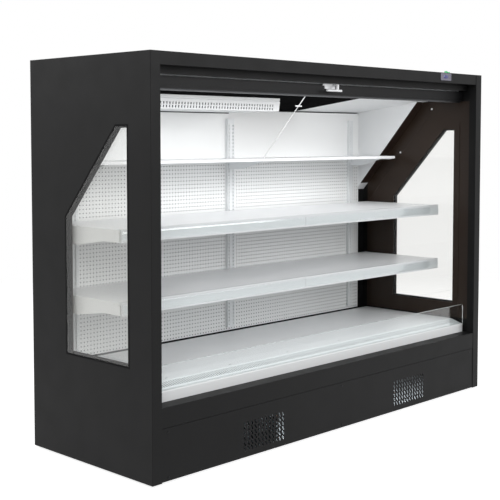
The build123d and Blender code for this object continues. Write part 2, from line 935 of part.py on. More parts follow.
# ---------------------------------------------------------------- shelves
def brackets(name, shelf_top, front_y, rear_drop, front_drop):
    """Cantilever brackets under one level of shelves, each with two hooks in the upright's slots."""
    under = shelf_top - sheet - gap
    upper_hook = nearest_slot(under - rear_drop * 0.3)
    lower_hook = nearest_slot(under - rear_drop * 0.8)
    hook_height = slot_height - 2 * gap
    planes = [yz(x - bracket_thickness / 2) for x in bracket_places]
    with BuildPart() as level:
        with BuildSketch(*planes):
            Polygon(
                (y_upright - gap, under),
                (y_upright - gap, under - rear_drop),
                (y_upright - bracket_straight, under - rear_drop),
                (front_y + bracket_nose + bracket_nose_length, under - front_drop),
                (front_y + bracket_nose, under - front_drop + bracket_nose),
                (front_y + bracket_nose, under),
                align=None,
            )
        extrude(amount=bracket_thickness)
        with BuildSketch(*planes):
            with Locations((y_upright - hook_root, upper_hook), (y_upright - hook_root, lower_hook)):
                Rectangle(hook_root + hook_depth, hook_height, align=(Align.MIN, Align.CENTER))
        extrude(amount=bracket_thickness)
    save(level.part, name)


def folded_tray(x_low, x_high, top, front_y, front_flange, side_front, side_rear):
    """Folded sheet shelf: deck, front flange and a side flange at its outer end."""
    rear_y = y_upright - shelf_rear_gap
    length = x_high - x_low
    taper_y = max(front_y + sheet, shelf_front_y + shelf_side_taper)
    with BuildPart() as tray:
        with BuildSketch(Plane.XY.offset(top - sheet)):
            with Locations((x_low, front_y)):
                Rectangle(length, rear_y - front_y, align=(Align.MIN, Align.MIN))
        extrude(amount=sheet)
        with BuildSketch(xz(front_y + sheet)):
            with Locations((x_low, top - front_flange)):
                Rectangle(length, front_flange, align=(Align.MIN, Align.MIN))
        extrude(amount=sheet)
        with BuildSketch(yz(x_low if x_low < 0 else x_high - sheet)):
            Polygon(
                (front_y, top),
                (rear_y, top),
                (rear_y, top - side_rear),
                (shelf_front_y + shelf_side_deep, top - side_rear),
                (taper_y, top - side_front),
                (front_y, top - side_front),
                align=None,
            )
        extrude(amount=sheet)
    return tray.part


def deep_shelf(x_low, x_high, top):
    """Deep shelf: a folded tray whose side flange has the ticket rail's fixing holes."""
    hole_places = [(shelf_front_y + place, top - shelf_hole_drop) for place in shelf_hole_places]
    with BuildPart() as shelf:
        add(folded_tray(x_low, x_high, top, shelf_front_y, shelf_flange, shelf_side_front, shelf_side_rear))
        with BuildSketch(yz(x_low if x_low < 0 else x_high - sheet)):
            with Locations(*hole_places):
                Circle(shelf_hole_radius)
        extrude(amount=sheet, mode=Mode.SUBTRACT)
    return shelf.part


for level, top in (("mid", mid_shelf_top), ("low", low_shelf_top)):
    save(deep_shelf(-shelf_end, -gap, top), f"{level}_shelf_left")
    save(deep_shelf(gap, shelf_end, top), f"{level}_shelf_right")
    brackets(f"{level}_shelf_brackets", top, shelf_front_y, bracket_rear_drop, bracket_front_drop)

# the short top shelf, in two halves
with BuildPart() as top_shelf:
    add(
        folded_tray(
            gap,
            x_lining - top_shelf_end_gap,
            top_shelf_top,
            top_shelf_front_y,
            top_shelf_flange,
            top_shelf_flange,
            top_shelf_side_rear,
        )
    )
    mirror(about=Plane.YZ)
save(top_shelf.part, "top_shelf")
brackets(
    "top_shelf_brackets",
    top_shelf_top,
    top_shelf_front_y,
    top_bracket_rear_drop,
    top_bracket_front_drop,
)

# ticket rails: an extrusion with two grooves, a lip over the shelf edge and an open pocket
for level, top in (("mid", mid_shelf_top), ("low", low_shelf_top)):
    rail_back = shelf_front_y - gap
    rail_front = rail_back - rail_thickness
    rail_top = top + rail_rise
    with BuildPart() as rails:
        with BuildSketch(yz(-shelf_end), yz(gap)):
            with Locations((rail_front, rail_top)):
                Rectangle(rail_thickness, rail_height, align=(Align.MIN, Align.MAX))
            with Locations(*[(rail_front, rail_top - drop) for drop in rail_grooves]):
                Rectangle(rail_groove, rail_groove, mode=Mode.SUBTRACT)
            with Locations((rail_back, rail_top - rail_height / 2 - rail_rise)):
                Rectangle(
                    2 * rail_pocket_depth,
                    rail_height - 2 * rail_pocket_margin,
                    mode=Mode.SUBTRACT,
                )
            with Locations((rail_back, rail_top - rail_rise / 2)):
                Rectangle(rail_lip_length, rail_lip_thickness, align=(Align.MIN, Align.CENTER))
        extrude(amount=shelf_end - gap)
    save(rails.part, f"{level}_price_rails")

# ---------------------------------------------------------------- stay between ceiling and top shelf
stay_top_y = y_front + stay_top_setback
stay_bottom_y = top_shelf_front_y + stay_bottom_inset
stay_top = Vector(stay_x, stay_top_y, ceiling_height(stay_top_y) - stay_end_radius - gap)
stay_bottom = Vector(stay_x, stay_bottom_y, top_shelf_top + stay_end_radius + gap)
stay_line = stay_bottom - stay_top
toggle_start = stay_top + stay_line * toggle_place - Vector(toggle_length / 2, 0, 0)
with BuildPart() as shelf_stay:
    with BuildSketch(Plane(origin=stay_top, z_dir=stay_line.normalized())):
        Circle(stay_radius)
    extrude(amount=stay_line.length)
    with Locations(stay_top, stay_bottom):
        Sphere(stay_end_radius)
    with BuildSketch(Plane(origin=toggle_start, z_dir=(1, 0, 0))):
        Circle(toggle_radius)
    extrude(amount=toggle_length)
save(shelf_stay.part, "shelf_stay")

# ---------------------------------------------------------------- deck
# bumper: rounded front rail with a slot for the clear riser
riser_y = y_front + riser_setback + riser_thickness / 2
riser_bottom = bumper_top - riser_slot_depth
riser_top = deck_height + riser_rise
with BuildPart() as front_bumper:
    with BuildSketch(Plane.XY.offset(bumper_bottom)):
        with Locations((0, y_front + bumper_setback)):
            Rectangle(2 * bumper_half, bumper_depth, align=(Align.CENTER, Align.MIN))
    extrude(amount=bumper_height)
    fillet(front_bumper.edges().filter_by(Axis.Z).group_by(Axis.Y)[0], bumper_end_radius)
    fillet(front_bumper.faces().sort_by(Axis.Z)[-1].edges().group_by(Axis.Y)[0], bumper_edge_radius)
    with BuildSketch(Plane.XY.offset(bumper_top)):
        with Locations((0, riser_y)):
            Rectangle(2 * x_wall, riser_thickness + 2 * riser_slot_play)
    extrude(amount=-riser_slot_depth - gap, mode=Mode.SUBTRACT)
save(front_bumper.part, "front_bumper")

with BuildPart() as front_riser:
    with BuildSketch(xz(riser_y + riser_thickness / 2)) as riser_outline:
        with Locations((0, riser_bottom)):
            Rectangle(
                2 * (bumper_half - riser_end_gap),
                riser_top - riser_bottom,
                align=(Align.CENTER, Align.MIN),
            )
        fillet(riser_outline.vertices().group_by(Axis.Y)[-1], riser_corner)
    extrude(amount=riser_thickness)
save(front_riser.part, "front_riser")

# air-return grille: a slanted, slotted strip with a hem at the front and at the back
grille_front = bumper_rear_y + gap + sheet / 2
grille_rear = deck_front_y - gap - sheet / 2
grille_slots = int((2 * bumper_half - 2 * grille_margin) // grille_slot_pitch)
with BuildPart() as return_grille:
    with BuildSketch(yz(-bumper_half)):
        with BuildLine():
            Polyline(
                (grille_front, bumper_top - grille_hem),
                (grille_front, bumper_top + sheet / 2),
                (grille_rear, deck_height - sheet / 2),
                (grille_rear, deck_height - grille_hem),
            )
        trace(line_width=sheet)
    extrude(amount=2 * bumper_half)
    with BuildSketch(Plane.XY.offset(deck_height + sheet)):
        with Locations((0, (bumper_rear_y + deck_front_y) / 2)):
            with GridLocations(grille_slot_pitch, 0, grille_slots, 1):
                Rectangle(grille_slot_width, grille_slot_length)
    extrude(amount=-bumper_drop - grille_hem, mode=Mode.SUBTRACT)
save(return_grille.part, "return_grille")

# deck trays with a row of fixing holes shared between them
for side in (-1, 1):
    low = gap if side > 0 else -bumper_half
    hole_places = [(side * (n + 0.5) * deck_hole_spacing, y_front + deck_hole_setback) for n in range(3)]
    with BuildPart() as deck_tray:
        with BuildSketch(Plane.XY.offset(deck_height - sheet)):
            with Locations((low, deck_front_y)):
                Rectangle(bumper_half - gap, deck_rear_y - deck_front_y, align=(Align.MIN, Align.MIN))
            with Locations(*hole_places):
                SlotOverall(deck_hole_length, deck_hole_width, mode=Mode.SUBTRACT)
        extrude(amount=sheet)
        with BuildSketch(xz(deck_front_y + sheet), xz(deck_rear_y)):
            with Locations((low, deck_height - deck_flange)):
                Rectangle(bumper_half - gap, deck_flange, align=(Align.MIN, Align.MIN))
        extrude(amount=sheet)
    save(deck_tray.part, f"deck_tray_{end_name(side)}")

# insulated tub: floor, front wall under the bumper and a rear ledge for the deck
band_ledge_z = bumper_bottom - outer_sheet / 2 - gap / 2
tub_front_top = bumper_bottom - outer_sheet - gap
tub_rear_top = deck_height - deck_flange - gap
tub_ledge_y = deck_rear_y - tub_ledge
with BuildPart() as tub:
    with BuildSketch(yz(-x_wall + gap)):
        Polygon(
            (y_post + gap, tub_bottom),
            (y_rear_wall - gap, tub_bottom),
            (y_rear_wall - gap, tub_rear_top),
            (tub_ledge_y, tub_rear_top),
            (tub_ledge_y, tub_floor_top),
            (bumper_rear_y, tub_floor_top),
            (bumper_rear_y, tub_front_top),
            (y_post + gap, tub_front_top),
            align=None,
        )
    extrude(amount=2 * (x_wall - gap))
save(tub.part, "tub")

# front band: black sheet in front of the tub, with the ledge that the bumper stands on
band_y = y_front + band_setback + outer_sheet / 2
band_bottom = plinth_height + sheet
with BuildPart() as front_band:
    with BuildSketch(yz(-x_post + gap)):
        with BuildLine():
            Polyline(
                (band_y + band_hem, band_bottom),
                (band_y, band_bottom),
                (band_y, band_ledge_z),
                (y_post + 2 * outer_sheet, band_ledge_z),
            )
        trace(line_width=outer_sheet - gap)
    extrude(amount=2 * (x_post - gap))
    with BuildSketch(yz(-x_wall + gap)):
        with Locations((y_post + gap, band_ledge_z)):
            Rectangle(bumper_rear_y - y_post - gap, outer_sheet - gap, align=(Align.MIN, Align.CENTER))
    extrude(amount=2 * (x_wall - gap))
save(front_band.part, "front_band")

# ---------------------------------------------------------------- plinth and base
plinth_y = y_front + plinth_setback
plinth_half = x_post - plinth_end_gap
plinth_bottom = foot_height + outer_sheet
plinth_top = plinth_height - plinth_top_gap
screw_x = x_post - screw_inset
screw_places = [(x, z) for x in (-screw_x, 0, screw_x) for z in (screw_low, screw_high)]
slot_nose = vent_slot_width / 2

with BuildPart() as plinth_panel:
    with BuildSketch(xz(plinth_y + sheet)):
        with Locations((0, plinth_bottom)):
            Rectangle(2 * plinth_half, plinth_top - plinth_bottom, align=(Align.CENTER, Align.MIN))
        # two fields of leaning air slots with pointed ends
        vent_z = vent_rise + vent_row_pitch * vent_rows / 2
        with Locations((-vent_offset, vent_z), (vent_offset, vent_z)):
            with GridLocations(vent_column_pitch, vent_row_pitch, vent_columns, vent_rows):
                Polygon(
                    (-vent_slot_length / 2, 0),
                    (-vent_slot_length / 2 + slot_nose, -slot_nose),
                    (vent_slot_length / 2 - slot_nose, -slot_nose),
                    (vent_slot_length / 2, 0),
                    (vent_slot_length / 2 - slot_nose, slot_nose),
                    (-vent_slot_length / 2 + slot_nose, slot_nose),
                    align=None,
                    rotation=90 + vent_slot_lean,
                    mode=Mode.SUBTRACT,
                )
        with Locations(*screw_places):
            Circle(screw_head_radius / 2 + screw_hole_play, mode=Mode.SUBTRACT)
    extrude(amount=sheet)
    # folded upper and lower edges
    with BuildSketch(xz(plinth_y + plinth_fold)):
        with Locations((0, plinth_bottom), (0, plinth_top - sheet)):
            Rectangle(2 * plinth_half, sheet, align=(Align.CENTER, Align.MIN))
    extrude(amount=plinth_fold)
save(plinth_panel.part, "plinth_panel")

front_stay_y = plinth_y + plinth_fold + gap
with BuildPart() as panel_screws:
    with BuildSketch(xz(plinth_y - gap / 2)):
        with Locations(*screw_places):
            Circle(screw_head_radius)
    extrude(amount=screw_head_height)
    with BuildSketch(xz(plinth_y - gap / 2)):
        with Locations(*screw_places):
            RegularPolygon(screw_head_radius / 2, 6)
    extrude(amount=-(front_stay_y + foot_pad - plinth_y))
save(panel_screws.part, "panel_screws")

# base pan with front stays that the plinth panel is screwed to
stay_top_z = tub_bottom - gap
with BuildPart() as base_pan:
    with BuildSketch(Plane.XY.offset(pan_z)):
        with Locations((0, front_stay_y)):
            Rectangle(2 * (x_post - gap), roof_rear_y - front_stay_y, align=(Align.CENTER, Align.MIN))
        with Locations((0, y_post + gap)):
            Rectangle(2 * (x_wall - gap), roof_rear_y - y_post - gap, align=(Align.CENTER, Align.MIN))
    extrude(amount=pan_thickness)
    with BuildSketch(xz(front_stay_y + sheet)):
        with Locations((-screw_x, pan_z), (0, pan_z), (screw_x, pan_z)):
            Rectangle(front_stay_width, stay_top_z - pan_z, align=(Align.CENTER, Align.MIN))
        with Locations(*screw_places):
            Circle(screw_head_radius / 2 + gap, mode=Mode.SUBTRACT)
    extrude(amount=sheet)
    with BuildSketch(Plane.XY.offset(stay_top_z - sheet)):
        with Locations((-screw_x, front_stay_y), (0, front_stay_y), (screw_x, front_stay_y)):
            Rectangle(front_stay_width, front_stay_foot, align=(Align.CENTER, Align.MIN))
    extrude(amount=sheet)
save(base_pan.part, "base_pan")

foot_x = x_wall - foot_end_inset
foot_rows = (y_front + foot_front_inset, y_rear_wall - foot_rear_inset)
foot_places = [(x, y) for x in (-foot_x, 0, foot_x) for y in foot_rows]
with BuildPart() as feet:
    with BuildSketch(Plane.XY):
        with Locations(*foot_places):
            Circle(foot_radius)
    extrude(amount=foot_pad, taper=foot_taper)
    with BuildSketch(Plane.XY.offset(foot_pad / 2)):
        with Locations(*foot_places):
            RegularPolygon(foot_nut_radius, 6)
    extrude(amount=pan_z - gap - foot_pad / 2)
save(feet.part, "levelling_feet")

# ---------------------------------------------------------------- cooling unit
shroud_size = plinth_height - unit_floor - unit_clearance
fan_radius = shroud_size / 2 - shroud_inset
condenser_front = front_stay_y + condenser_setback
condenser_height = plinth_height - unit_floor - condenser_clearance


def finned_coil(centre, size, fins, tube_rows, tube_columns):
    """Coil along X: fins between two end plates, and level runs of tube joined by return bends."""
    length, across, tall = size
    row_pitch = tall / tube_rows
    column_pitch = across / tube_columns
    plate_x = length / 2 - coil_end_plate / 2
    run = length + 4 * coil_end_plate
    with BuildPart() as coil:
        with BuildSketch(Plane.XY.offset(centre.Z - tall / 2)):
            with Locations((centre.X, centre.Y)):
                with GridLocations(length / (fins + 1), 0, fins, 1):
                    Rectangle(coil_fin_thickness, across)
                with Locations((-plate_x, 0), (plate_x, 0)):
                    Rectangle(coil_end_plate, across)
        extrude(amount=tall)
        for column in range(tube_columns):
            y = centre.Y + (column - (tube_columns - 1) / 2) * column_pitch
            for row in range(tube_rows):
                z = centre.Z + (row - (tube_rows - 1) / 2) * row_pitch
                with BuildSketch(yz(centre.X - run / 2)):
                    with Locations((y, z)):
                        RegularPolygon(coil_tube_radius, 6)
                extrude(amount=run)
                if row + 1 < tube_rows:
                    # the bends join a run to the next at alternate ends
                    end = 1 if (row + column) % 2 else -1
                    with BuildSketch(yz(centre.X + end * run / 2)):
                        with Locations((y, z)):
                            RegularPolygon(coil_tube_radius, 6)
                    bend_axis = Axis((centre.X + end * run / 2, y, z + row_pitch / 2), (0, -end, 0))
                    revolve(axis=bend_axis, revolution_arc=180)
    return coil.part


condenser_centre = Vector(
    condenser_x,
    condenser_front + condenser_depth / 2,
    unit_floor + gap + condenser_height / 2,
)
condenser_size = (condenser_width, condenser_depth, condenser_height)
save(finned_coil(condenser_centre, condenser_size, condenser_fins, 4, 1), "condenser_coil")

# fan shroud with a bell mouth, a motor on three struts and the shaft
shroud_y = condenser_front + condenser_depth + gap
shroud_z = unit_floor + gap + shroud_size / 2
motor_y = shroud_y + shroud_depth
with BuildPart() as fan_shroud:
    with BuildSketch(xz(shroud_y)):
        with Locations((condenser_x, shroud_z)):
            RectangleRounded(shroud_size, shroud_size, shroud_corner)
            Circle(fan_radius + shroud_tip_gap, mode=Mode.SUBTRACT)
    extrude(amount=-shroud_depth)
    with BuildSketch(xz(motor_y)):
        with Locations((condenser_x, shroud_z)):
            Circle(motor_radius)
            with PolarLocations(0, 3):
                Rectangle(shroud_size / 2 - strut_end_gap, strut_width, align=(Align.MIN, Align.CENTER))
    extrude(amount=-motor_length)
    with BuildSketch(xz(motor_y)):
        with Locations((condenser_x, shroud_z)):
            Circle(shaft_radius)
    extrude(amount=fan_depth)
save(fan_shroud.part, "fan_shroud")


def axial_fan(name, x, z, rear_y, radius, hub_radius, hub_depth, bore):
    """Axial fan about an axis along Y: a hub and pitched blades, trimmed to the tip circle."""
    chord = (hub_depth - 2 * fan_hub_margin) / sin(radians(fan_pitch_angle))
    blade_start = hub_radius - fan_blade_root
    blade_end = radius + fan_blade_trim
    axis_plane = Plane(origin=(x, rear_y - hub_depth / 2, z), x_dir=(1, 0, 0), z_dir=(0, -1, 0))
    with BuildPart() as fan:
        with Locations(axis_plane):
            with PolarLocations((blade_end + blade_start) / 2, fan_blades):
                Box(blade_end - blade_start, chord, fan_blade_thickness, rotation=(fan_pitch_angle, 0, 0))
        for outline_radius, mode in (
            (radius, Mode.INTERSECT),
            (hub_radius, Mode.ADD),
            (bore, Mode.SUBTRACT),
        ):
            with BuildSketch(xz(rear_y)):
                with Locations((x, z)):
                    Circle(outline_radius)
            extrude(amount=hub_depth, mode=mode)
    save(fan.part, name)


axial_fan(
    "condenser_fan",
    condenser_x,
    shroud_z,
    motor_y - fan_motor_gap,
    fan_radius,
    fan_hub_radius,
    fan_depth - 2 * fan_motor_gap,
    shaft_radius + running_fit,
)

# compressor: a lying shell with domed ends, on two feet, with a terminal box and pipe stubs
compressor_z = unit_floor + gap + compressor_foot_height + compressor_radius
foot_left = (compressor_x - compressor_foot_offset, compressor_y)
foot_right = (compressor_x + compressor_foot_offset, compressor_y)
with BuildPart() as compressor:
    with BuildSketch(Plane.YZ.offset(compressor_x - compressor_length / 2)):
        with Locations((compressor_y, compressor_z)):
            Circle(compressor_radius)
    extrude(amount=compressor_length)
    fillet(compressor.edges().filter_by(GeomType.CIRCLE), compressor_dome)
    # feet, each with a web up to the shell
    with BuildSketch(Plane.XY.offset(unit_floor + gap)):
        with Locations(foot_left, foot_right):
            Rectangle(compressor_foot_width, compressor_foot_length)
    extrude(amount=compressor_foot_thickness)
    with BuildSketch(Plane.XY.offset(unit_floor + gap)):
        with Locations(foot_left, foot_right):
            Rectangle(compressor_foot_thickness, compressor_web_length)
    extrude(amount=compressor_foot_height + compressor_radius / 2)
    with BuildSketch(Plane.XY.offset(compressor_z)):
        with Locations((compressor_x, compressor_y)):
            RectangleRounded(terminal_box_length, terminal_box_width, terminal_box_corner)
    extrude(amount=terminal_box_top)
    # suction and discharge stubs
    with BuildSketch(Plane.YZ.offset(compressor_x)):
        with Locations((compressor_y, compressor_z)):
            with GridLocations(pipe_stub_spacing, 0, 2, 1):
                Circle(pipe_stub_radius)
    extrude(amount=compressor_length / 2 + pipe_stub_length)
save(compressor.part, "compressor")

# evaporator: finned coil on the tub's floor
evaporator_height = tub_rear_top - tub_floor_top - evaporator_clearance
evaporator_centre = Vector(0, evaporator_y, tub_floor_top + gap + evaporator_height / 2)
evaporator_size = (evaporator_length, evaporator_depth, evaporator_height)
save(finned_coil(evaporator_centre, evaporator_size, evaporator_fins, 2, 2), "evaporator_coil")

# fan plate in front of the evaporator: it also carries the front of the deck
fan_places = [(side * evaporator_fan_x, (tub_floor_top + deck_height - sheet) / 2) for side in (-1, 1)]
fan_axis_z = fan_places[0][1]
with BuildPart() as fan_plate:
    with BuildSketch(xz(fan_plate_y)):
        with Locations((0, fan_axis_z)):
            Rectangle(
                2 * (x_wall - fan_plate_end_gap),
                deck_height - sheet - tub_floor_top - 2 * gap,
            )
        with Locations(*fan_places):
            Circle(evaporator_fan_radius + evaporator_fan_tip_gap, mode=Mode.SUBTRACT)
    extrude(amount=-sheet)
    # motor on a strut across each hole, and its shaft
    with BuildSketch(xz(fan_plate_y + sheet)):
        with Locations(*fan_places):
            Rectangle(evaporator_strut_length, evaporator_strut_width)
            Circle(evaporator_motor_radius)
    extrude(amount=-evaporator_motor_length)
    with BuildSketch(xz(fan_plate_y + sheet)):
        with Locations(*fan_places):
            Circle(evaporator_shaft_radius)
    extrude(amount=evaporator_shaft_length)
save(fan_plate.part, "fan_plate")

for side in (-1, 1):
    axial_fan(
        f"evaporator_fan_{end_name(side)}",
        side * evaporator_fan_x,
        fan_axis_z,
        fan_plate_y + sheet - fan_motor_gap,
        evaporator_fan_radius,
        evaporator_fan_hub,
        evaporator_fan_depth,
        evaporator_shaft_radius + running_fit,
    )

# ---------------------------------------------------------------- controls
# digital thermostat: a bezel on the fascia, flush with the posts, and its body behind
with BuildPart() as controller:
    with BuildSketch(xz(fascia_y - gap / 3)):
        with Locations((controller_x, controller_z)):
            RectangleRounded(controller_width, controller_height, controller_corner)
    extrude(amount=fascia_setback - gap / 3)
    with BuildSketch(xz(y_front + display_recess)):
        with Locations((controller_x, controller_z)):
            RectangleRounded(
                controller_width - 2 * display_margin_x,
                controller_height - 2 * display_margin_z,
                controller_corner / 2,
            )
    extrude(amount=2 * display_recess, mode=Mode.SUBTRACT)
    with BuildSketch(xz(fascia_y)):
        with Locations((controller_x, controller_z)):
            Rectangle(
                controller_width - 2 * controller_overlap - 2 * gap,
                controller_height - 2 * controller_overlap - 2 * gap,
            )
    extrude(amount=-controller_depth)
save(controller.part, "controller")

# rocker switch on the top sheet: housing with a pin across it, and a rocker tilted to its on side
switch_plane = Plane(origin=(switch_x, switch_y, height))
pin_place = (switch_x, switch_y, height - switch_pin_depth)
flange_length, flange_width = switch_flange
with BuildPart() as switch_housing:
    with BuildSketch(switch_plane):
        RectangleRounded(switch_width + flange_length, switch_depth + flange_width, switch_wall)
    extrude(amount=switch_wall)
    with BuildSketch(switch_plane):
        Rectangle(switch_width + 2 * switch_wall, switch_depth + 2 * switch_wall)
    extrude(amount=-switch_body_depth)
    with BuildSketch(switch_plane.offset(switch_wall)):
        Rectangle(switch_width, switch_depth)
    extrude(amount=-switch_body_depth, mode=Mode.SUBTRACT)
    with BuildSketch(Plane(origin=pin_place, x_dir=(1, 0, 0), z_dir=(0, -1, 0))):
        Circle(switch_pin_radius)
    extrude(amount=switch_depth / 2, both=True)
save(switch_housing.part, "switch_housing")

rocker_half = switch_width / 2 - rocker_play
rocker_rise = switch_proud + switch_pin_depth
tilt_direction = (cos(radians(switch_tilt)), 0, -sin(radians(switch_tilt)))
with BuildPart() as switch_rocker:
    with BuildSketch(Plane(origin=pin_place, x_dir=tilt_direction, z_dir=(0, -1, 0))):
        with BuildLine():
            Polyline(
                (-rocker_half, rocker_rise),
                (-rocker_half, 0),
                (0, -rocker_keel),
                (rocker_half, 0),
                (rocker_half, rocker_rise),
            )
            ThreePointArc(
                (rocker_half, rocker_rise),
                (0, rocker_rise - rocker_hollow),
                (-rocker_half, rocker_rise),
            )
        make_face()
        Circle(switch_pin_radius + running_fit, mode=Mode.SUBTRACT)
    extrude(amount=switch_depth / 2 - rocker_side_play, both=True)
save(switch_rocker.part, "switch_rocker")
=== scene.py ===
"""Finishes, small fittings, light and camera for an open multideck display fridge.

Metres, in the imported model's frame: X along the front, Y from the front to the back, Z up.
"""

from math import cos, pi, radians, sin

import bmesh
import bpy
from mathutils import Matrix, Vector


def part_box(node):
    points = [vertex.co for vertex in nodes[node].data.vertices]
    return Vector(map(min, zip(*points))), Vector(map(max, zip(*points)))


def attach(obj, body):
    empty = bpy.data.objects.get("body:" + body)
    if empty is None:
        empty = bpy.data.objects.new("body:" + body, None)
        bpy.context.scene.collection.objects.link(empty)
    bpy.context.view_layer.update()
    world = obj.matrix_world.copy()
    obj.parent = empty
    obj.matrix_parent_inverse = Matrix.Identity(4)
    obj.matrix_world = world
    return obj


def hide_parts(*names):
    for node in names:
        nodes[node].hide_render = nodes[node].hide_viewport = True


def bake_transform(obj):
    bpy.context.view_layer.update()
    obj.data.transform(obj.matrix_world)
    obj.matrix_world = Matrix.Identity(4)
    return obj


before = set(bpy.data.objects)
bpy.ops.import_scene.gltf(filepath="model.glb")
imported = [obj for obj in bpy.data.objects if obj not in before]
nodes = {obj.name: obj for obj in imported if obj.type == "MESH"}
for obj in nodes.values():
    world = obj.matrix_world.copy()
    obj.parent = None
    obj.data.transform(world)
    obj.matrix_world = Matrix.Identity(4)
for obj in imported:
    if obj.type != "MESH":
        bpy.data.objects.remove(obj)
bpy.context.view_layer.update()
MM = 0.001
WHITE = (1.0, 1.0, 1.0, 1.0)


# ---------------------------------------------------------------- nodes and colours
def srgb(code):
    """Linear colour of an sRGB hex code."""
    channels = [int(code[i : i + 2], 16) / 255 for i in (1, 3, 5)]
    linear = [c / 12.92 if c <= 0.04045 else ((c + 0.055) / 1.055) ** 2.4 for c in channels]
    return (*linear, 1.0)


def add_node(tree, kind, settings=None, inputs=None):
    """A node with its settings; an input takes a value or another node's output."""
    node = tree.nodes.new(kind)
    for name, value in (settings or {}).items():
        setattr(node, name, value)
    for name, value in (inputs or {}).items():
        if isinstance(value, bpy.types.NodeSocket):
            tree.links.new(value, node.inputs[name])
        else:
            node.inputs[name].default_value = value
    return node


def new_finish(name, colour, roughness, sockets=None):
    """A new material with a Principled shader.

    Returns the material, its tree, its shader and its Object coordinates."""
    material = bpy.data.materials.new(name)
    material.use_nodes = True
    tree = material.node_tree
    shader = tree.nodes["Principled BSDF"]
    shader.inputs["Base Color"].default_value = srgb(colour)
    shader.inputs["Roughness"].default_value = roughness
    for socket, value in (sockets or {}).items():
        shader.inputs[socket].default_value = value
    place = add_node(tree, "ShaderNodeTexCoord").outputs["Object"]
    return material, tree, shader, place


def drift(tree, place, patch_mm, stretch=(1, 1, 1), detail=3.0):
    """Smooth noise with patches of that size, drawn out along an axis by a small stretch."""
    scaled = add_node(tree, "ShaderNodeMapping", inputs={"Vector": place, "Scale": stretch})
    noise = add_node(
        tree,
        "ShaderNodeTexNoise",
        inputs={"Vector": scaled.outputs["Vector"], "Scale": 1 / (patch_mm * MM), "Detail": detail},
    )
    return noise.outputs["Fac"]


def surface_grain(tree, shader, place, grain_mm, depth_mm, strength, stretch=(1, 1, 1)):
    """Fine unevenness of a surface, as a bump."""
    bump = add_node(
        tree,
        "ShaderNodeBump",
        inputs={
            "Strength": strength,
            "Distance": depth_mm * MM,
            "Height": drift(tree, place, grain_mm, stretch, 2.0),
        },
    )
    tree.links.new(bump.outputs["Normal"], shader.inputs["Normal"])


def uneven_colour(tree, shader, place, light, dark, patch_mm, stretch=(1, 1, 1)):
    """Slow drift between two close colours."""
    colour = add_node(
        tree,
        "ShaderNodeMix",
        {"data_type": "RGBA"},
        {0: drift(tree, place, patch_mm, stretch), 6: srgb(dark), 7: srgb(light)},
    )
    tree.links.new(colour.outputs[2], shader.inputs["Base Color"])


def uneven_gloss(tree, shader, place, low, high, patch_mm, stretch=(1, 1, 1)):
    """Slow drift of the roughness, over the middle of the noise's range."""
    roughness = add_node(
        tree,
        "ShaderNodeMapRange",
        inputs={
            "Value": drift(tree, place, patch_mm, stretch),
            "From Min": 0.3,
            "From Max": 0.7,
            "To Min": low,
            "To Max": high,
        },
    )
    tree.links.new(roughness.outputs["Result"], shader.inputs["Roughness"])


def inside_all(tree, edges):
    """1 where every value has passed its edge, 0 elsewhere; an edge is a value, where it starts and
    where it is passed."""
    inside = 1.0
    for value, start, passed in edges:
        rising = passed > start
        step = add_node(
            tree,
            "ShaderNodeMapRange",
            inputs={
                "Value": value,
                "From Min": start if rising else passed,
                "From Max": passed if rising else start,
                "To Min": 0.0 if rising else 1.0,
                "To Max": 1.0 if rising else 0.0,
            },
        )
        inside = add_node(
            tree, "ShaderNodeMath", {"operation": "MULTIPLY"}, {0: inside, 1: step.outputs["Result"]}
        ).outputs[0]
    return inside


# ---------------------------------------------------------------- finishes
def powder_coated_steel():
    """Polyester powder coat, satin: a dark sheet with a soft, slightly pebbled gloss."""
    material, tree, shader, place = new_finish(
        "powder_coated_steel", "#171718", 0.5, {"Specular IOR Level": 0.12}
    )
    uneven_colour(tree, shader, place, "#191919", "#151516", patch_mm=180)
    uneven_gloss(tree, shader, place, low=0.46, high=0.54, patch_mm=90)
    # orange peel is about 0.8 mm across, drawn twice as coarse so that it shows
    surface_grain(tree, shader, place, grain_mm=1.6, depth_mm=0.03, strength=0.35)
    return material


def black_enamelled_steel():
    """Stoved black enamel, smoother than the powder coat: black with a soft gloss, drawn brownish as a
    painted reflection of the food on the shelves.
    """
    # the brown in this colour and in the two below is a painted reflection of the food on the shelves,
    # not the enamel's own colour
    material, tree, shader, place = new_finish(
        "black_enamelled_steel", "#2a2019", 0.34, {"Specular IOR Level": 0.25}
    )
    uneven_colour(tree, shader, place, "#2e231c", "#261d17", patch_mm=240)
    surface_grain(tree, shader, place, grain_mm=3.0, depth_mm=0.03, strength=0.25)
    return material


def white_enamelled_steel(name, colour, shade):
    """Stoved white enamel on sheet steel: a clean white with a mild gloss."""
    material, tree, shader, place = new_finish(name, colour, 0.35)
    uneven_colour(tree, shader, place, colour, shade, patch_mm=150)
    surface_grain(tree, shader, place, grain_mm=2.0, depth_mm=0.02, strength=0.25)
    return material


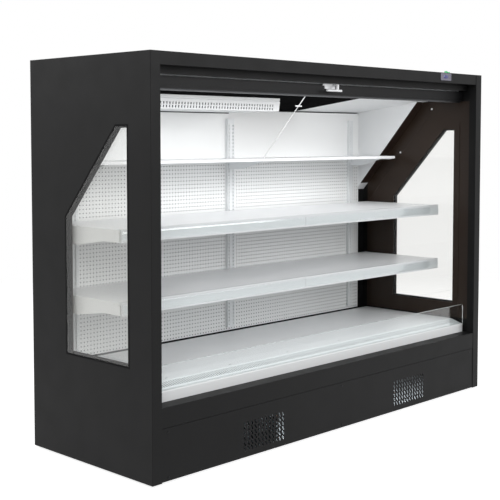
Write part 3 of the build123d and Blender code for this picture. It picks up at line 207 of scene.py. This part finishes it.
def perforated_enamelled_steel(plain_above):
    """White back panel, punched with round holes up to the top shelf: rows of grey dots."""
    pitch = 15.4 * MM
    hole_radius = 2.5 * MM
    panel_white = "#f1f2f2"
    hole_grey = "#5e6062"
    material, tree, shader, place = new_finish("perforated_enamelled_steel", panel_white, 0.35)
    cell = add_node(
        tree,
        "ShaderNodeVectorMath",
        {"operation": "WRAP"},
        {0: place, 1: (pitch / 2, 1, pitch / 2), 2: (-pitch / 2, -1, -pitch / 2)},
    )
    flat = add_node(
        tree, "ShaderNodeVectorMath", {"operation": "MULTIPLY"}, {0: cell.outputs[0], 1: (1, 0, 1)}
    )
    reach = add_node(tree, "ShaderNodeVectorMath", {"operation": "LENGTH"}, {0: flat.outputs[0]})
    height = add_node(tree, "ShaderNodeSeparateXYZ", inputs={0: place})
    punched = inside_all(
        tree,
        (
            (reach.outputs["Value"], hole_radius * 1.15, hole_radius * 0.85),
            (height.outputs["Z"], plain_above, plain_above - 1 * MM),
        ),
    )
    colour = add_node(
        tree,
        "ShaderNodeMix",
        {"data_type": "RGBA"},
        {0: punched, 6: srgb(panel_white), 7: srgb(hole_grey)},
    )
    tree.links.new(colour.outputs[2], shader.inputs["Base Color"])
    bump = add_node(
        tree,
        "ShaderNodeBump",
        {"invert": True},
        {"Strength": 0.8, "Distance": 1.0 * MM, "Height": punched},
    )
    tree.links.new(bump.outputs["Normal"], shader.inputs["Normal"])
    return material


def slotted_outlet_steel():
    """White enamelled air outlet: a white face whose slots are painted dark from just inside, as
    painted shade deep in the slots.
    """
    outlet_white = "#e6e8e9"
    slot_shade = "#2c2d2e"
    lean, face_height = 6 * MM, 64 * MM  # the face leans back by that much over its height
    slots_bottom, slots_top, end_strip = 5 * MM, 39 * MM, 5 * MM  # the field that the slots are in
    blur = 1 * MM
    material, tree, shader, place = new_finish("slotted_outlet_steel", outlet_white, 0.35)
    low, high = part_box("air_outlet")
    facing = Vector((0, 1, lean / face_height)).normalized()
    depth = add_node(tree, "ShaderNodeVectorMath", {"operation": "DOT_PRODUCT"}, {0: place, 1: facing})
    face_depth = facing.dot(Vector((0, low[1] + lean, low[2])))
    spot = add_node(tree, "ShaderNodeSeparateXYZ", inputs={0: place}).outputs
    # painted shade: everything deeper than 1.5 mm behind the face, inside the slot field, is drawn dark
    in_slot = inside_all(
        tree,
        (
            (depth.outputs["Value"], face_depth + 1.5 * MM, face_depth + 3 * MM),
            (spot["Z"], low[2] + slots_bottom, low[2] + slots_bottom + blur),
            (spot["Z"], low[2] + slots_top, low[2] + slots_top - blur),
            (spot["X"], high[0] - end_strip, high[0] - end_strip - blur),
        ),
    )
    colour = add_node(
        tree,
        "ShaderNodeMix",
        {"data_type": "RGBA"},
        {0: in_slot, 6: srgb(outlet_white), 7: srgb(slot_shade)},
    )
    tree.links.new(colour.outputs[2], shader.inputs["Base Color"])
    surface_grain(tree, shader, place, grain_mm=2.0, depth_mm=0.02, strength=0.25)
    return material


def extruded_pvc(name, colour, shade, roughness):
    """Extruded PVC: an even colour, a soft gloss and faint lines along the extrusion."""
    material, tree, shader, place = new_finish(name, colour, roughness, {"IOR": 1.53})
    uneven_colour(tree, shader, place, colour, shade, patch_mm=60, stretch=(0.05, 1, 1))
    surface_grain(
        tree, shader, place, grain_mm=1.2, depth_mm=0.02, strength=0.3, stretch=(0.02, 1, 1)
    )
    return material


def moulded_abs(name, colour, shade, roughness):
    """Moulded ABS with a spark-eroded texture: fine grain that breaks the highlights."""
    material, tree, shader, place = new_finish(name, colour, roughness, {"IOR": 1.54})
    uneven_colour(tree, shader, place, colour, shade, patch_mm=25)
    # the grain is about 0.2 mm, drawn at 0.7 mm so that it shows
    surface_grain(tree, shader, place, grain_mm=0.7, depth_mm=0.03, strength=0.4)
    return material


def galvanised_steel():
    """Hot-dip zinc on sheet steel: dull grey with a patchwork of spangles."""
    spangle_width = 12 * MM
    material, tree, shader, place = new_finish("galvanised_steel", "#9aa0a4", 0.45, {"Metallic": 0.9})
    spangle = add_node(
        tree, "ShaderNodeTexVoronoi", inputs={"Vector": place, "Scale": 1 / spangle_width}
    ).outputs["Color"]
    roughness = add_node(
        tree, "ShaderNodeMapRange", inputs={"Value": spangle, "To Min": 0.36, "To Max": 0.55}
    )
    tree.links.new(roughness.outputs["Result"], shader.inputs["Roughness"])
    grey = add_node(
        tree,
        "ShaderNodeMix",
        {"data_type": "RGBA"},
        {0: spangle, 6: srgb("#8d9397"), 7: srgb("#a6acb0")},
    )
    tree.links.new(grey.outputs[2], shader.inputs["Base Color"])
    return material


def brushed_aluminium(name, colour, roughness):
    """Anodised aluminium section, brushed along its length: a metal line with fine streaks."""
    material, tree, shader, place = new_finish(name, colour, roughness, {"Metallic": 1.0})
    uneven_gloss(
        tree, shader, place,
        low=roughness - 0.06, high=roughness + 0.08, patch_mm=2.0, stretch=(0.02, 1, 1),
    )
    surface_grain(
        tree, shader, place, grain_mm=0.6, depth_mm=0.02, strength=0.4, stretch=(0.01, 1, 1)
    )
    return material


def black_anodised_aluminium():
    """Black anodised section: charcoal with a metal sheen and faint drawing lines."""
    material, tree, shader, place = new_finish(
        "black_anodised_aluminium", "#171718", 0.45, {"Metallic": 0.1, "Specular IOR Level": 0.12}
    )
    uneven_gloss(tree, shader, place, low=0.38, high=0.46, patch_mm=2.5, stretch=(0.02, 1, 1))
    surface_grain(
        tree, shader, place, grain_mm=0.8, depth_mm=0.01, strength=0.2, stretch=(0.01, 1, 1)
    )
    return material


def clear_sheet(name, colour, ior, roughness):
    """Clear sheet, polished or extruded: seen through, with a faint tint and sharp reflections.

    Shadow rays pass it, so that it doesn't darken what stands behind it."""
    material, tree, shader, place = new_finish(
        name, colour, roughness, {"IOR": ior, "Transmission Weight": 1.0}
    )
    # such a sheet is not quite flat, which bends reflections a little over 150 mm
    surface_grain(tree, shader, place, grain_mm=150, depth_mm=0.02, strength=0.05)
    light_path = add_node(tree, "ShaderNodeLightPath")
    clear = add_node(tree, "ShaderNodeBsdfTransparent", inputs={"Color": srgb(colour)})
    indirect = add_node(
        tree,
        "ShaderNodeMath",
        {"operation": "MAXIMUM"},
        {0: light_path.outputs["Is Shadow Ray"], 1: light_path.outputs["Is Diffuse Ray"]},
    )
    mix = add_node(
        tree,
        "ShaderNodeMixShader",
        inputs={0: indirect.outputs[0], 1: shader.outputs[0], 2: clear.outputs[0]},
    )
    tree.links.new(mix.outputs[0], tree.nodes["Material Output"].inputs["Surface"])
    return material


def painted_highlight_acrylic_edge():
    """Flame-polished edge of clear acrylic, drawn pale and half clear: a painted highlight, so that it
    reads as a bright line.
    """
    # the pale colour is a painted highlight: the light that such an edge gathers, drawn as colour
    material, tree, shader, place = new_finish(
        "acrylic_edge_painted_highlight", "#eef4f4", 0.25, {"IOR": 1.49, "Transmission Weight": 0.35}
    )
    uneven_gloss(tree, shader, place, low=0.18, high=0.32, patch_mm=3.0, stretch=(0.1, 1, 1))
    return material


def frosted_diffuser():
    """Frosted polycarbonate over the lamp, extruded: a soft grey line under the header."""
    material, tree, shader, place = new_finish(
        "frosted_polycarbonate", "#8e9090", 0.45, {"IOR": 1.58, "Specular IOR Level": 0.3}
    )
    surface_grain(
        tree, shader, place, grain_mm=1.0, depth_mm=0.02, strength=0.2, stretch=(0.02, 1, 1)
    )
    return material


def epdm_rubber():
    """Extruded EPDM rubber: matt black, a little dusty."""
    material, tree, shader, place = new_finish(
        "epdm_rubber", "#0d0d0e", 0.7, {"Specular IOR Level": 0.1}
    )
    uneven_colour(tree, shader, place, "#101011", "#0b0b0c", patch_mm=30)
    surface_grain(tree, shader, place, grain_mm=0.8, depth_mm=0.05, strength=0.4)
    return material


def matt_black_lining():
    """Matt black paint on the ceiling's dark part: no gloss, so that it stays black at a flat angle."""
    material, tree, shader, place = new_finish(
        "matt_black_lining", "#161617", 0.9, {"Specular IOR Level": 0.0}
    )
    uneven_colour(tree, shader, place, "#191919", "#131314", patch_mm=60)
    surface_grain(tree, shader, place, grain_mm=1.0, depth_mm=0.05, strength=0.3)
    return material


def woven_blind_cloth():
    """Aluminised woven polyester of a night blind: pale grey, fine weave, dull metal sheen."""
    # the weave is about 0.4 mm, drawn three times as coarse so that it shows
    thread_pitch = 1.2 * MM
    material, tree, shader, place = new_finish("woven_blind_cloth", "#c9cbcc", 0.5, {"Metallic": 0.3})
    bands = [
        add_node(
            tree,
            "ShaderNodeTexWave",
            {"bands_direction": direction, "wave_profile": "SIN"},
            {"Vector": place, "Scale": pi / (10 * thread_pitch), "Distortion": 0.3},
        )
        for direction in ("X", "Z")
    ]
    weave = add_node(
        tree,
        "ShaderNodeMath",
        {"operation": "MULTIPLY"},
        {0: bands[0].outputs["Fac"], 1: bands[1].outputs["Fac"]},
    ).outputs[0]
    colour = add_node(
        tree,
        "ShaderNodeMix",
        {"data_type": "RGBA"},
        {0: weave, 6: srgb("#b5b8ba"), 7: srgb("#d6d8d9")},
    )
    tree.links.new(colour.outputs[2], shader.inputs["Base Color"])
    bump = add_node(
        tree, "ShaderNodeBump", inputs={"Strength": 0.4, "Distance": 0.15 * MM, "Height": weave}
    )
    tree.links.new(bump.outputs["Normal"], shader.inputs["Normal"])
    return material


def copper_tube_and_fins(name, centre_x, length):
    """Finned coil: aluminium fins with a grey bloom, and warm copper return bends past its ends."""
    material, tree, shader, place = new_finish(name, "#a9adb0", 0.42, {"Metallic": 1.0})
    bloom = drift(tree, place, 30)
    fins, tubes = (
        add_node(
            tree, "ShaderNodeMix", {"data_type": "RGBA"}, {0: bloom, 6: srgb(dull), 7: srgb(bright)}
        ).outputs[2]
        for dull, bright in (("#9aa0a4", "#b7bbbe"), ("#8f5a44", "#b86f50"))
    )
    along = add_node(tree, "ShaderNodeSeparateXYZ", inputs={0: place}).outputs["X"]
    from_middle = add_node(tree, "ShaderNodeMath", {"operation": "SUBTRACT"}, {0: along, 1: centre_x})
    reach = add_node(tree, "ShaderNodeMath", {"operation": "ABSOLUTE"}, {0: from_middle.outputs[0]})
    past_end = inside_all(tree, ((reach.outputs[0], length / 2, length / 2 + 1 * MM),))
    both = add_node(tree, "ShaderNodeMix", {"data_type": "RGBA"}, {0: past_end, 6: fins, 7: tubes})
    tree.links.new(both.outputs[2], shader.inputs["Base Color"])
    return material


def zinc_plated_screw(name, colour, shade):
    """Zinc-plated screw steel: a satin metal with small patches of duller zinc."""
    material, tree, shader, place = new_finish(name, colour, 0.4, {"Metallic": 0.8})
    uneven_colour(tree, shader, place, colour, shade, patch_mm=3)
    uneven_gloss(tree, shader, place, low=0.3, high=0.5, patch_mm=4)
    return material


def lit_green_polycarbonate():
    """Lit rocker in clear green polycarbonate: it glows a little from inside."""
    material, tree, shader, place = new_finish(
        "lit_green_polycarbonate",
        "#1f9e58",
        0.25,
        {"IOR": 1.58, "Emission Color": srgb("#3fd07e"), "Emission Strength": 0.25},
    )
    surface_grain(tree, shader, place, grain_mm=2.0, depth_mm=0.05, strength=0.3)
    return material


def smoked_acrylic():
    """Smoked acrylic over the thermostat's display: blue-violet and glossy, with nothing lit."""
    material, tree, shader, place = new_finish("smoked_acrylic", "#43437a", 0.15, {"IOR": 1.49})
    uneven_colour(tree, shader, place, "#4f4f8c", "#38386a", patch_mm=14)
    return material


top_shelf_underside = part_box("top_shelf")[0][2]
clear_acrylic = clear_sheet("clear_acrylic", "#fafdfd", 1.49, 0.02)
white_handle_abs = moulded_abs("white_abs_handle", "#ebecee", "#e2e3e6", 0.35)
blind_cloth_finish = woven_blind_cloth()
tube_aluminium = brushed_aluminium("brushed_aluminium", "#b9bbbe", 0.3)
finishes = {
    "anthracite_paint": powder_coated_steel(),
    "inner_black": black_enamelled_steel(),
    "white_panel": white_enamelled_steel("white_enamelled_panel", "#f0f1f2", "#e9ebec"),
    "shelf_white": white_enamelled_steel("white_enamelled_shelf", "#f0f1f2", "#e8eaec"),
    "upright_white": white_enamelled_steel("white_enamelled_upright", "#ebedee", "#e2e5e7"),
    "bumper_white": extruded_pvc("white_pvc_bumper", "#dbdcdd", "#d3d5d6", 0.4),
    "price_rail": extruded_pvc("grey_pvc_rail", "#d9dbdd", "#d0d3d5", 0.3),
    "foam_liner": moulded_abs("white_abs_liner", "#ebecec", "#e3e4e4", 0.5),
    "zinc": galvanised_steel(),
    "aluminium": tube_aluminium,
    "bar_black": black_anodised_aluminium(),
    "acrylic": clear_acrylic,
    "glazing": clear_sheet("float_glass", "#f9f9f8", 1.34, 0.01),
    "diffuser": frosted_diffuser(),
    "seal_rubber": epdm_rubber(),
    "cloth": blind_cloth_finish,
    "handle_white": white_handle_abs,
    "black_plastic": moulded_abs("black_abs", "#111112", "#0d0d0e", 0.6),
    "controller_grey": moulded_abs("grey_abs_bezel", "#6c6a78", "#62606e", 0.5),
    "switch_green": lit_green_polycarbonate(),
    "compressor_black": moulded_abs("black_stoved_shell", "#1a1b1c", "#131415", 0.35),
    "copper": copper_tube_and_fins("copper_tube_and_fins_condenser", centre_x=-0.446, length=0.230),
    "wire_white": extruded_pvc("white_coated_wire", "#ececed", "#e2e2e3", 0.4),
    "screw_steel": zinc_plated_screw("black_zinc_plated_screw", "#232425", "#1b1c1d"),
}

for thing in nodes.values():
    for slot in thing.material_slots:
        slot.material = finishes[slot.material.name.split(".")[0]]

perforated = perforated_enamelled_steel(top_shelf_underside)
for name in ("back_panel_left", "back_panel_right"):
    nodes[name].material_slots[0].material = perforated
nodes["front_band"].material_slots[0].material = finishes["anthracite_paint"]
nodes["ceiling_dark"].material_slots[0].material = matt_black_lining()
nodes["lamp_profile"].material_slots[0].material = brushed_aluminium(
    "grey_anodised_aluminium", "#5c5d5f", 0.45
)
nodes["air_outlet"].material_slots[0].material = slotted_outlet_steel()
nodes["evaporator_coil"].material_slots[0].material = copper_tube_and_fins(
    "copper_tube_and_fins_evaporator", centre_x=0.0, length=1.240
)


# ---------------------------------------------------------------- making small fittings
def edit(name):
    """Names the primitive just added and opens it for editing."""
    piece = bpy.context.object
    piece.name = name
    piece.data.name = name
    bpy.ops.object.mode_set(mode="EDIT")
    bpy.ops.mesh.select_mode(type="FACE")
    return piece


def choose_faces(test):
    """Selects the faces that pass the test, in the piece's own coordinates."""
    bpy.ops.mesh.select_all(action="DESELECT")
    shape = bmesh.from_edit_mesh(bpy.context.object.data)
    for face in shape.faces:
        if test(face):
            face.select_set(True)
    bmesh.update_edit_mesh(bpy.context.object.data)


def close(piece, finish, body, smooth=35):
    """Closes the edit, sets the place in the mesh, and gives the piece its finish and its body."""
    bpy.ops.mesh.select_all(action="SELECT")
    bpy.ops.mesh.normals_make_consistent(inside=False)
    bpy.ops.object.mode_set(mode="OBJECT")
    bpy.ops.object.transform_apply(location=True, rotation=True, scale=True)
    bpy.ops.object.shade_smooth_by_angle(angle=radians(smooth))
    piece.data.materials.clear()
    piece.data.materials.append(finish)
    if body:
        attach(piece, body)
    bpy.ops.object.select_all(action="DESELECT")
    return piece


def slab(name, low, high, edge):
    """A block between two corners, opened for editing, with its edges rounded."""
    low, high = Vector(low), Vector(high)
    bpy.ops.mesh.primitive_cube_add(size=1, location=(low + high) / 2, scale=high - low)
    bpy.ops.object.transform_apply(location=False, rotation=False, scale=True)
    piece = edit(name)
    bpy.ops.mesh.bevel(offset=edge, segments=2, affect="EDGES")
    return piece


bpy.ops.object.select_all(action="DESELECT")


def cover_screw(name, side, y, z):
    """White-capped pan-head screw on an inner side cover: a domed head with a round recess."""
    head_radius, head_height = 4.6 * MM, 1.6 * MM
    sheet = 1.5 * MM  # the cover's thickness
    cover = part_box(f"side_cover_{'left' if side < 0 else 'right'}")
    sheet_x = cover[0][0] + sheet if side < 0 else cover[1][0] - sheet
    bpy.ops.mesh.primitive_cylinder_add(
        vertices=24,
        radius=head_radius,
        depth=head_height,
        location=(sheet_x - side * 0.6 * MM, y, z),
        rotation=(0, radians(-90 * side), 0),
    )
    piece = edit(name)
    choose_faces(lambda face: face.normal.z > 0.9)
    # the rim's round, the dome, the flat and the recess
    for width, rise in ((0.8, 0.5), (1.2, 0.3), (0.9, 0.0), (0.2, -0.9)):
        bpy.ops.mesh.inset(thickness=width * MM, depth=rise * MM)
    return close(piece, white_handle_abs, "cabinet")


for side, end in ((-1, "left"), (1, "right")):
    cover_screw(f"cover_screw_{end}_upper", side, -0.091, 1.282)
    cover_screw(f"cover_screw_{end}_lower", side, 0.087, 1.078)


# ---------------------------------------------------------------- night blind
def wound_cloth():
    """The blind's cloth on its roller: a roll whose ends show the windings as fine rings."""
    roll_radius, roll_length = 23.6 * MM, 1839 * MM
    tube_radius, tube_length = 16 * MM, 1855 * MM
    pin_length = 16.8 * MM
    low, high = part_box("blind_roller")
    axis = (0, (low[1] + high[1]) / 2, (low[2] + high[2]) / 2)
    along_x = (0, radians(90), 0)
    bpy.ops.mesh.primitive_cylinder_add(
        vertices=72, radius=roll_radius, depth=roll_length, location=axis, rotation=along_x
    )
    piece = edit("wound_blind_cloth")
    for end in (-1, 1):
        choose_faces(lambda face: face.normal.z * end > 0.9)
        bpy.ops.mesh.inset(thickness=0.7 * MM, depth=0.4 * MM)
        for winding in range(5):
            bpy.ops.mesh.inset(thickness=1.3 * MM, depth=(-0.5 if winding % 2 else 0.3) * MM)
    close(piece, blind_cloth_finish, "blind_roll")
    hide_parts("blind_roller")

    bpy.ops.mesh.primitive_cylinder_add(
        vertices=48, radius=tube_radius, depth=tube_length, location=axis, rotation=along_x
    )
    piece = edit("blind_tube")
    for end in (-1, 1):
        choose_faces(lambda face: face.normal.z * end > 0.9)
        # the tube's wall, then its plug, whose middle comes out as the pin
        bpy.ops.mesh.inset(thickness=1.5 * MM, depth=-1.0 * MM)
        bpy.ops.mesh.inset(thickness=10.5 * MM, depth=0.0)
        bpy.ops.mesh.extrude_region_move(TRANSFORM_OT_translate={"value": (pin_length * end, 0, 0)})
        bpy.ops.mesh.inset(thickness=0.6 * MM, depth=0.6 * MM)
    close(piece, tube_aluminium, "blind_roll")
    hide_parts("blind_roller")


def hanging_cloth():
    """The strip of blind cloth between the roll and the bottom bar, with slight waves across it."""
    cloth_thickness, wave_height, wave_width = 0.4 * MM, 0.5 * MM, 0.12
    low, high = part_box("blind_cloth")
    middle_y = (low[1] + high[1]) / 2
    width, height = high[0] - low[0], high[2] - low[2]
    bpy.ops.mesh.primitive_grid_add(
        x_subdivisions=120,
        y_subdivisions=5,
        size=1,
        location=(0, middle_y, (low[2] + high[2]) / 2),
        rotation=(radians(90), 0, 0),
    )
    bpy.context.object.scale = (width, height, 1)
    bpy.ops.object.transform_apply(location=True, rotation=True, scale=True)
    piece = edit("hanging_blind_cloth")
    bpy.ops.object.mode_set(mode="OBJECT")
    ripple = bpy.data.textures.new("cloth_ripple", "CLOUDS")
    ripple.noise_scale = wave_width
    waves = piece.modifiers.new("waves", "DISPLACE")
    waves.texture = ripple
    waves.texture_coords = "LOCAL"
    waves.strength = wave_height
    bpy.ops.object.modifier_apply(modifier="waves")
    thickness = piece.modifiers.new("thickness", "SOLIDIFY")
    thickness.thickness = cloth_thickness
    thickness.offset = 0
    bpy.ops.object.modifier_apply(modifier="thickness")
    bpy.ops.object.mode_set(mode="EDIT")
    close(piece, blind_cloth_finish, None)
    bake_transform(piece)
    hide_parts("blind_cloth")


wound_cloth()
hanging_cloth()


# ---------------------------------------------------------------- thermostat, rails and riser
def thermostat_front():
    """Smoked display window with two small keys on each side of it, in the bezel's recess."""
    window_x, window_z = 17 * MM, 7 * MM  # half the window's width and height
    key_x, key_z = 4 * MM, 2.6 * MM  # half a key's width and height
    low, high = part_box("controller")
    centre_x, centre_z = (low[0] + high[0]) / 2, (low[2] + high[2]) / 2
    recess_y = low[1] + 0.9 * MM
    inner_y = recess_y + 0.4 * MM
    piece = slab(
        "display_window",
        (centre_x - window_x, recess_y - 0.5 * MM, centre_z - window_z),
        (centre_x + window_x, inner_y, centre_z + window_z),
        0.25 * MM,
    )
    close(piece, smoked_acrylic(), "cabinet")
    for column, offset in enumerate((-24 * MM, 24 * MM)):
        for row, rise in enumerate((-4 * MM, 4 * MM)):
            x, z = centre_x + offset, centre_z + rise
            piece = slab(
                f"thermostat_key_{column + 1}_{row + 1}",
                (x - key_x, recess_y - 0.6 * MM, z - key_z),
                (x + key_x, inner_y, z + key_z),
                0.3 * MM,
            )
            choose_faces(lambda face: face.normal.y < -0.95)
            bpy.ops.mesh.inset(thickness=0.8 * MM, depth=-0.15 * MM)
            close(piece, finishes["controller_grey"], "cabinet")


def rail_flap(name, low, high):
    """Clear PVC flap over a ticket rail: it bows out between the rail's two grooves."""
    flap_height, flap_thickness = 31 * MM, 0.6 * MM
    middle_below_top = 24.5 * MM
    end_gaps = 4 * MM
    bpy.ops.mesh.primitive_grid_add(
        x_subdivisions=1,
        y_subdivisions=8,
        size=1,
        location=((low[0] + high[0]) / 2, low[1] - 0.3 * MM, high[2] - middle_below_top),
        rotation=(radians(90), 0, 0),
    )
    bpy.context.object.scale = (high[0] - low[0] - end_gaps, flap_height, 1)
    bpy.ops.object.transform_apply(location=False, rotation=True, scale=True)
    piece = edit(name)
    bpy.ops.mesh.select_mode(type="VERT")
    shape = bmesh.from_edit_mesh(piece.data)
    # the rows inside the grooves come forward, and the middle ones once more
    for half_height, forward in ((14 * MM, 0.8 * MM), (8 * MM, 0.5 * MM)):
        for vertex in shape.verts:
            vertex.select_set(abs(vertex.co.z) < half_height)
        bmesh.update_edit_mesh(piece.data)
        bpy.ops.transform.translate(value=(0, -forward, 0))
    bpy.ops.object.mode_set(mode="OBJECT")
    thickness = piece.modifiers.new("thickness", "SOLIDIFY")
    thickness.thickness = flap_thickness
    thickness.offset = 0
    bpy.ops.object.modifier_apply(modifier="thickness")
    bpy.ops.object.mode_set(mode="EDIT")
    close(piece, clear_pvc, "cabinet", smooth=60)


def riser_edge():
    """Flame-polished edge of the clear riser: a thin band painted pale along its top, a painted
    highlight.
    """
    corner, inset, stands_out = 9 * MM, 0.2 * MM, 0.5 * MM
    low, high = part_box("front_riser")
    piece = slab(
        "riser_edge_painted_highlight",
        (low[0] + corner, low[1] + inset, high[2] - inset),
        (high[0] - corner, high[1] - inset, high[2] + stands_out),
        0.2 * MM,
    )
    close(piece, painted_highlight_acrylic_edge(), "cabinet")


clear_pvc = clear_sheet("clear_pvc", "#f8fafa", 1.53, 0.08)
thermostat_front()
for level in ("mid", "low"):
    low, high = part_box(f"{level}_price_rails")
    # each level has two rails that meet at the middle
    for end, start, stop in (("left", low[0], -0.3 * MM), ("right", 0.3 * MM, high[0])):
        rail_flap(f"{level}_rail_flap_{end}", (start, low[1], low[2]), (stop, high[1], high[2]))
riser_edge()

# ---------------------------------------------------------------- camera
# the photograph's viewpoint, found from the cabinet's corners with a small shift, because the other
# views keep the shift
view_yaw = radians(45.67)
view_pitch = radians(-3.4)
camera_data = bpy.data.cameras.new("camera")
camera_data.lens = 75.67
camera_data.sensor_width = 36.0
camera_data.shift_y = -0.1
camera_data.clip_end = 60.0
camera = bpy.data.objects.new("camera", camera_data)
bpy.context.scene.collection.objects.link(camera)
camera.location = (-3.1719, -2.9269, 1.1494)
looking = Vector((cos(view_pitch) * sin(view_yaw), cos(view_pitch) * cos(view_yaw), sin(view_pitch)))
camera.rotation_mode = "QUATERNION"
camera.rotation_quaternion = looking.to_track_quat("-Z", "Y")
bpy.context.scene.camera = camera
bpy.context.scene.view_settings.view_transform = "Standard"


# ---------------------------------------------------------------- floor, world and lamps
def shown_rays(tree):
    """1 for rays that show the surroundings as they are: camera, glossy and transmission rays."""
    light_path = add_node(tree, "ShaderNodeLightPath")
    shown = light_path.outputs["Is Camera Ray"]
    for kind in ("Is Glossy Ray", "Is Transmission Ray"):
        shown = add_node(
            tree, "ShaderNodeMath", {"operation": "MAXIMUM"}, {0: shown, 1: light_path.outputs[kind]}
        ).outputs[0]
    return shown


def pale_floor():
    """Plain white floor that keeps the object's shadow, and turns white like the world further out."""
    lift_strength = 0.8
    near_to, far_from = 2.5, 4.5  # metres from the middle, so that no horizon shows
    bpy.ops.mesh.primitive_plane_add(size=24, location=(0, 0, 0))
    floor = bpy.context.object
    floor.name = "floor"
    material, tree, shader, place = new_finish(
        "white_floor", "#b8b8b8", 0.9, {"Specular IOR Level": 0.0}
    )
    shown = shown_rays(tree)
    strength = add_node(
        tree, "ShaderNodeMath", {"operation": "MULTIPLY"}, {0: shown, 1: lift_strength}
    )
    lift = add_node(
        tree, "ShaderNodeEmission", inputs={"Color": WHITE, "Strength": strength.outputs[0]}
    )
    near = add_node(tree, "ShaderNodeAddShader", inputs={0: shader.outputs[0], 1: lift.outputs[0]})
    far = add_node(tree, "ShaderNodeEmission", inputs={"Color": WHITE, "Strength": shown})
    reach = add_node(tree, "ShaderNodeVectorMath", {"operation": "LENGTH"}, {0: place})
    away = inside_all(tree, ((reach.outputs["Value"], near_to, far_from),))
    whole = add_node(
        tree, "ShaderNodeMixShader", inputs={0: away, 1: near.outputs[0], 2: far.outputs[0]}
    )
    tree.links.new(whole.outputs[0], tree.nodes["Material Output"].inputs["Surface"])
    floor.data.materials.append(material)


def studio_world():
    """White surroundings, with a softer share of light on the object."""
    share = 0.8
    world = bpy.data.worlds.new("studio")
    world.use_nodes = True
    bpy.context.scene.world = world
    tree = world.node_tree
    strength = add_node(
        tree,
        "ShaderNodeMapRange",
        inputs={"Value": shown_rays(tree), "To Min": share, "To Max": 1.0},
    )
    background = tree.nodes["Background"]
    background.inputs["Color"].default_value = WHITE
    tree.links.new(strength.outputs["Result"], background.inputs["Strength"])


def soft_lamp(name, place, aim, size, watts):
    """Soft box of that width and height at a place, aimed at a point."""
    data = bpy.data.lights.new(name, "AREA")
    data.shape = "RECTANGLE"
    data.size, data.size_y = size
    data.energy = watts
    lamp = bpy.data.objects.new(name, data)
    bpy.context.scene.collection.objects.link(lamp)
    lamp.location = place
    lamp.rotation_mode = "QUATERNION"
    lamp.rotation_quaternion = (Vector(aim) - Vector(place)).to_track_quat("-Z", "Y")
    lamp.visible_camera = False


bpy.ops.object.select_all(action="DESELECT")
pale_floor()
studio_world()
soft_lamp("key", (-3.8, -3.4, 3.4), (-0.3, 0, 0.8), (2.4, 2.4), 100)
soft_lamp("front", (2.4, -4.2, 2.3), (0.1, 0, 0.7), (2.8, 2.0), 82)
soft_lamp("side", (-3.6, 3.4, 2.6), (-0.95, 0.2, 1.3), (2.0, 1.6), 40)
# the cabinet's own lamp, behind the header, and its light as it comes back from the front edge;
# both stay behind the blind's cloth when it is down
soft_lamp("header_lamp", (0, -0.16, 1.3), (0, 0.16, 0.7), (1.8, 0.03), 1.1)
soft_lamp("front_fill", (0, -0.17, 1.19), (0, 0.3, 0.8), (1.7, 0.08), 1.3)
# light that reaches the cooling unit from below, seen through the vents
soft_lamp("unit_fill", (0, -0.27, 0.15), (0, -0.1, 0.03), (1.7, 0.03), 6)
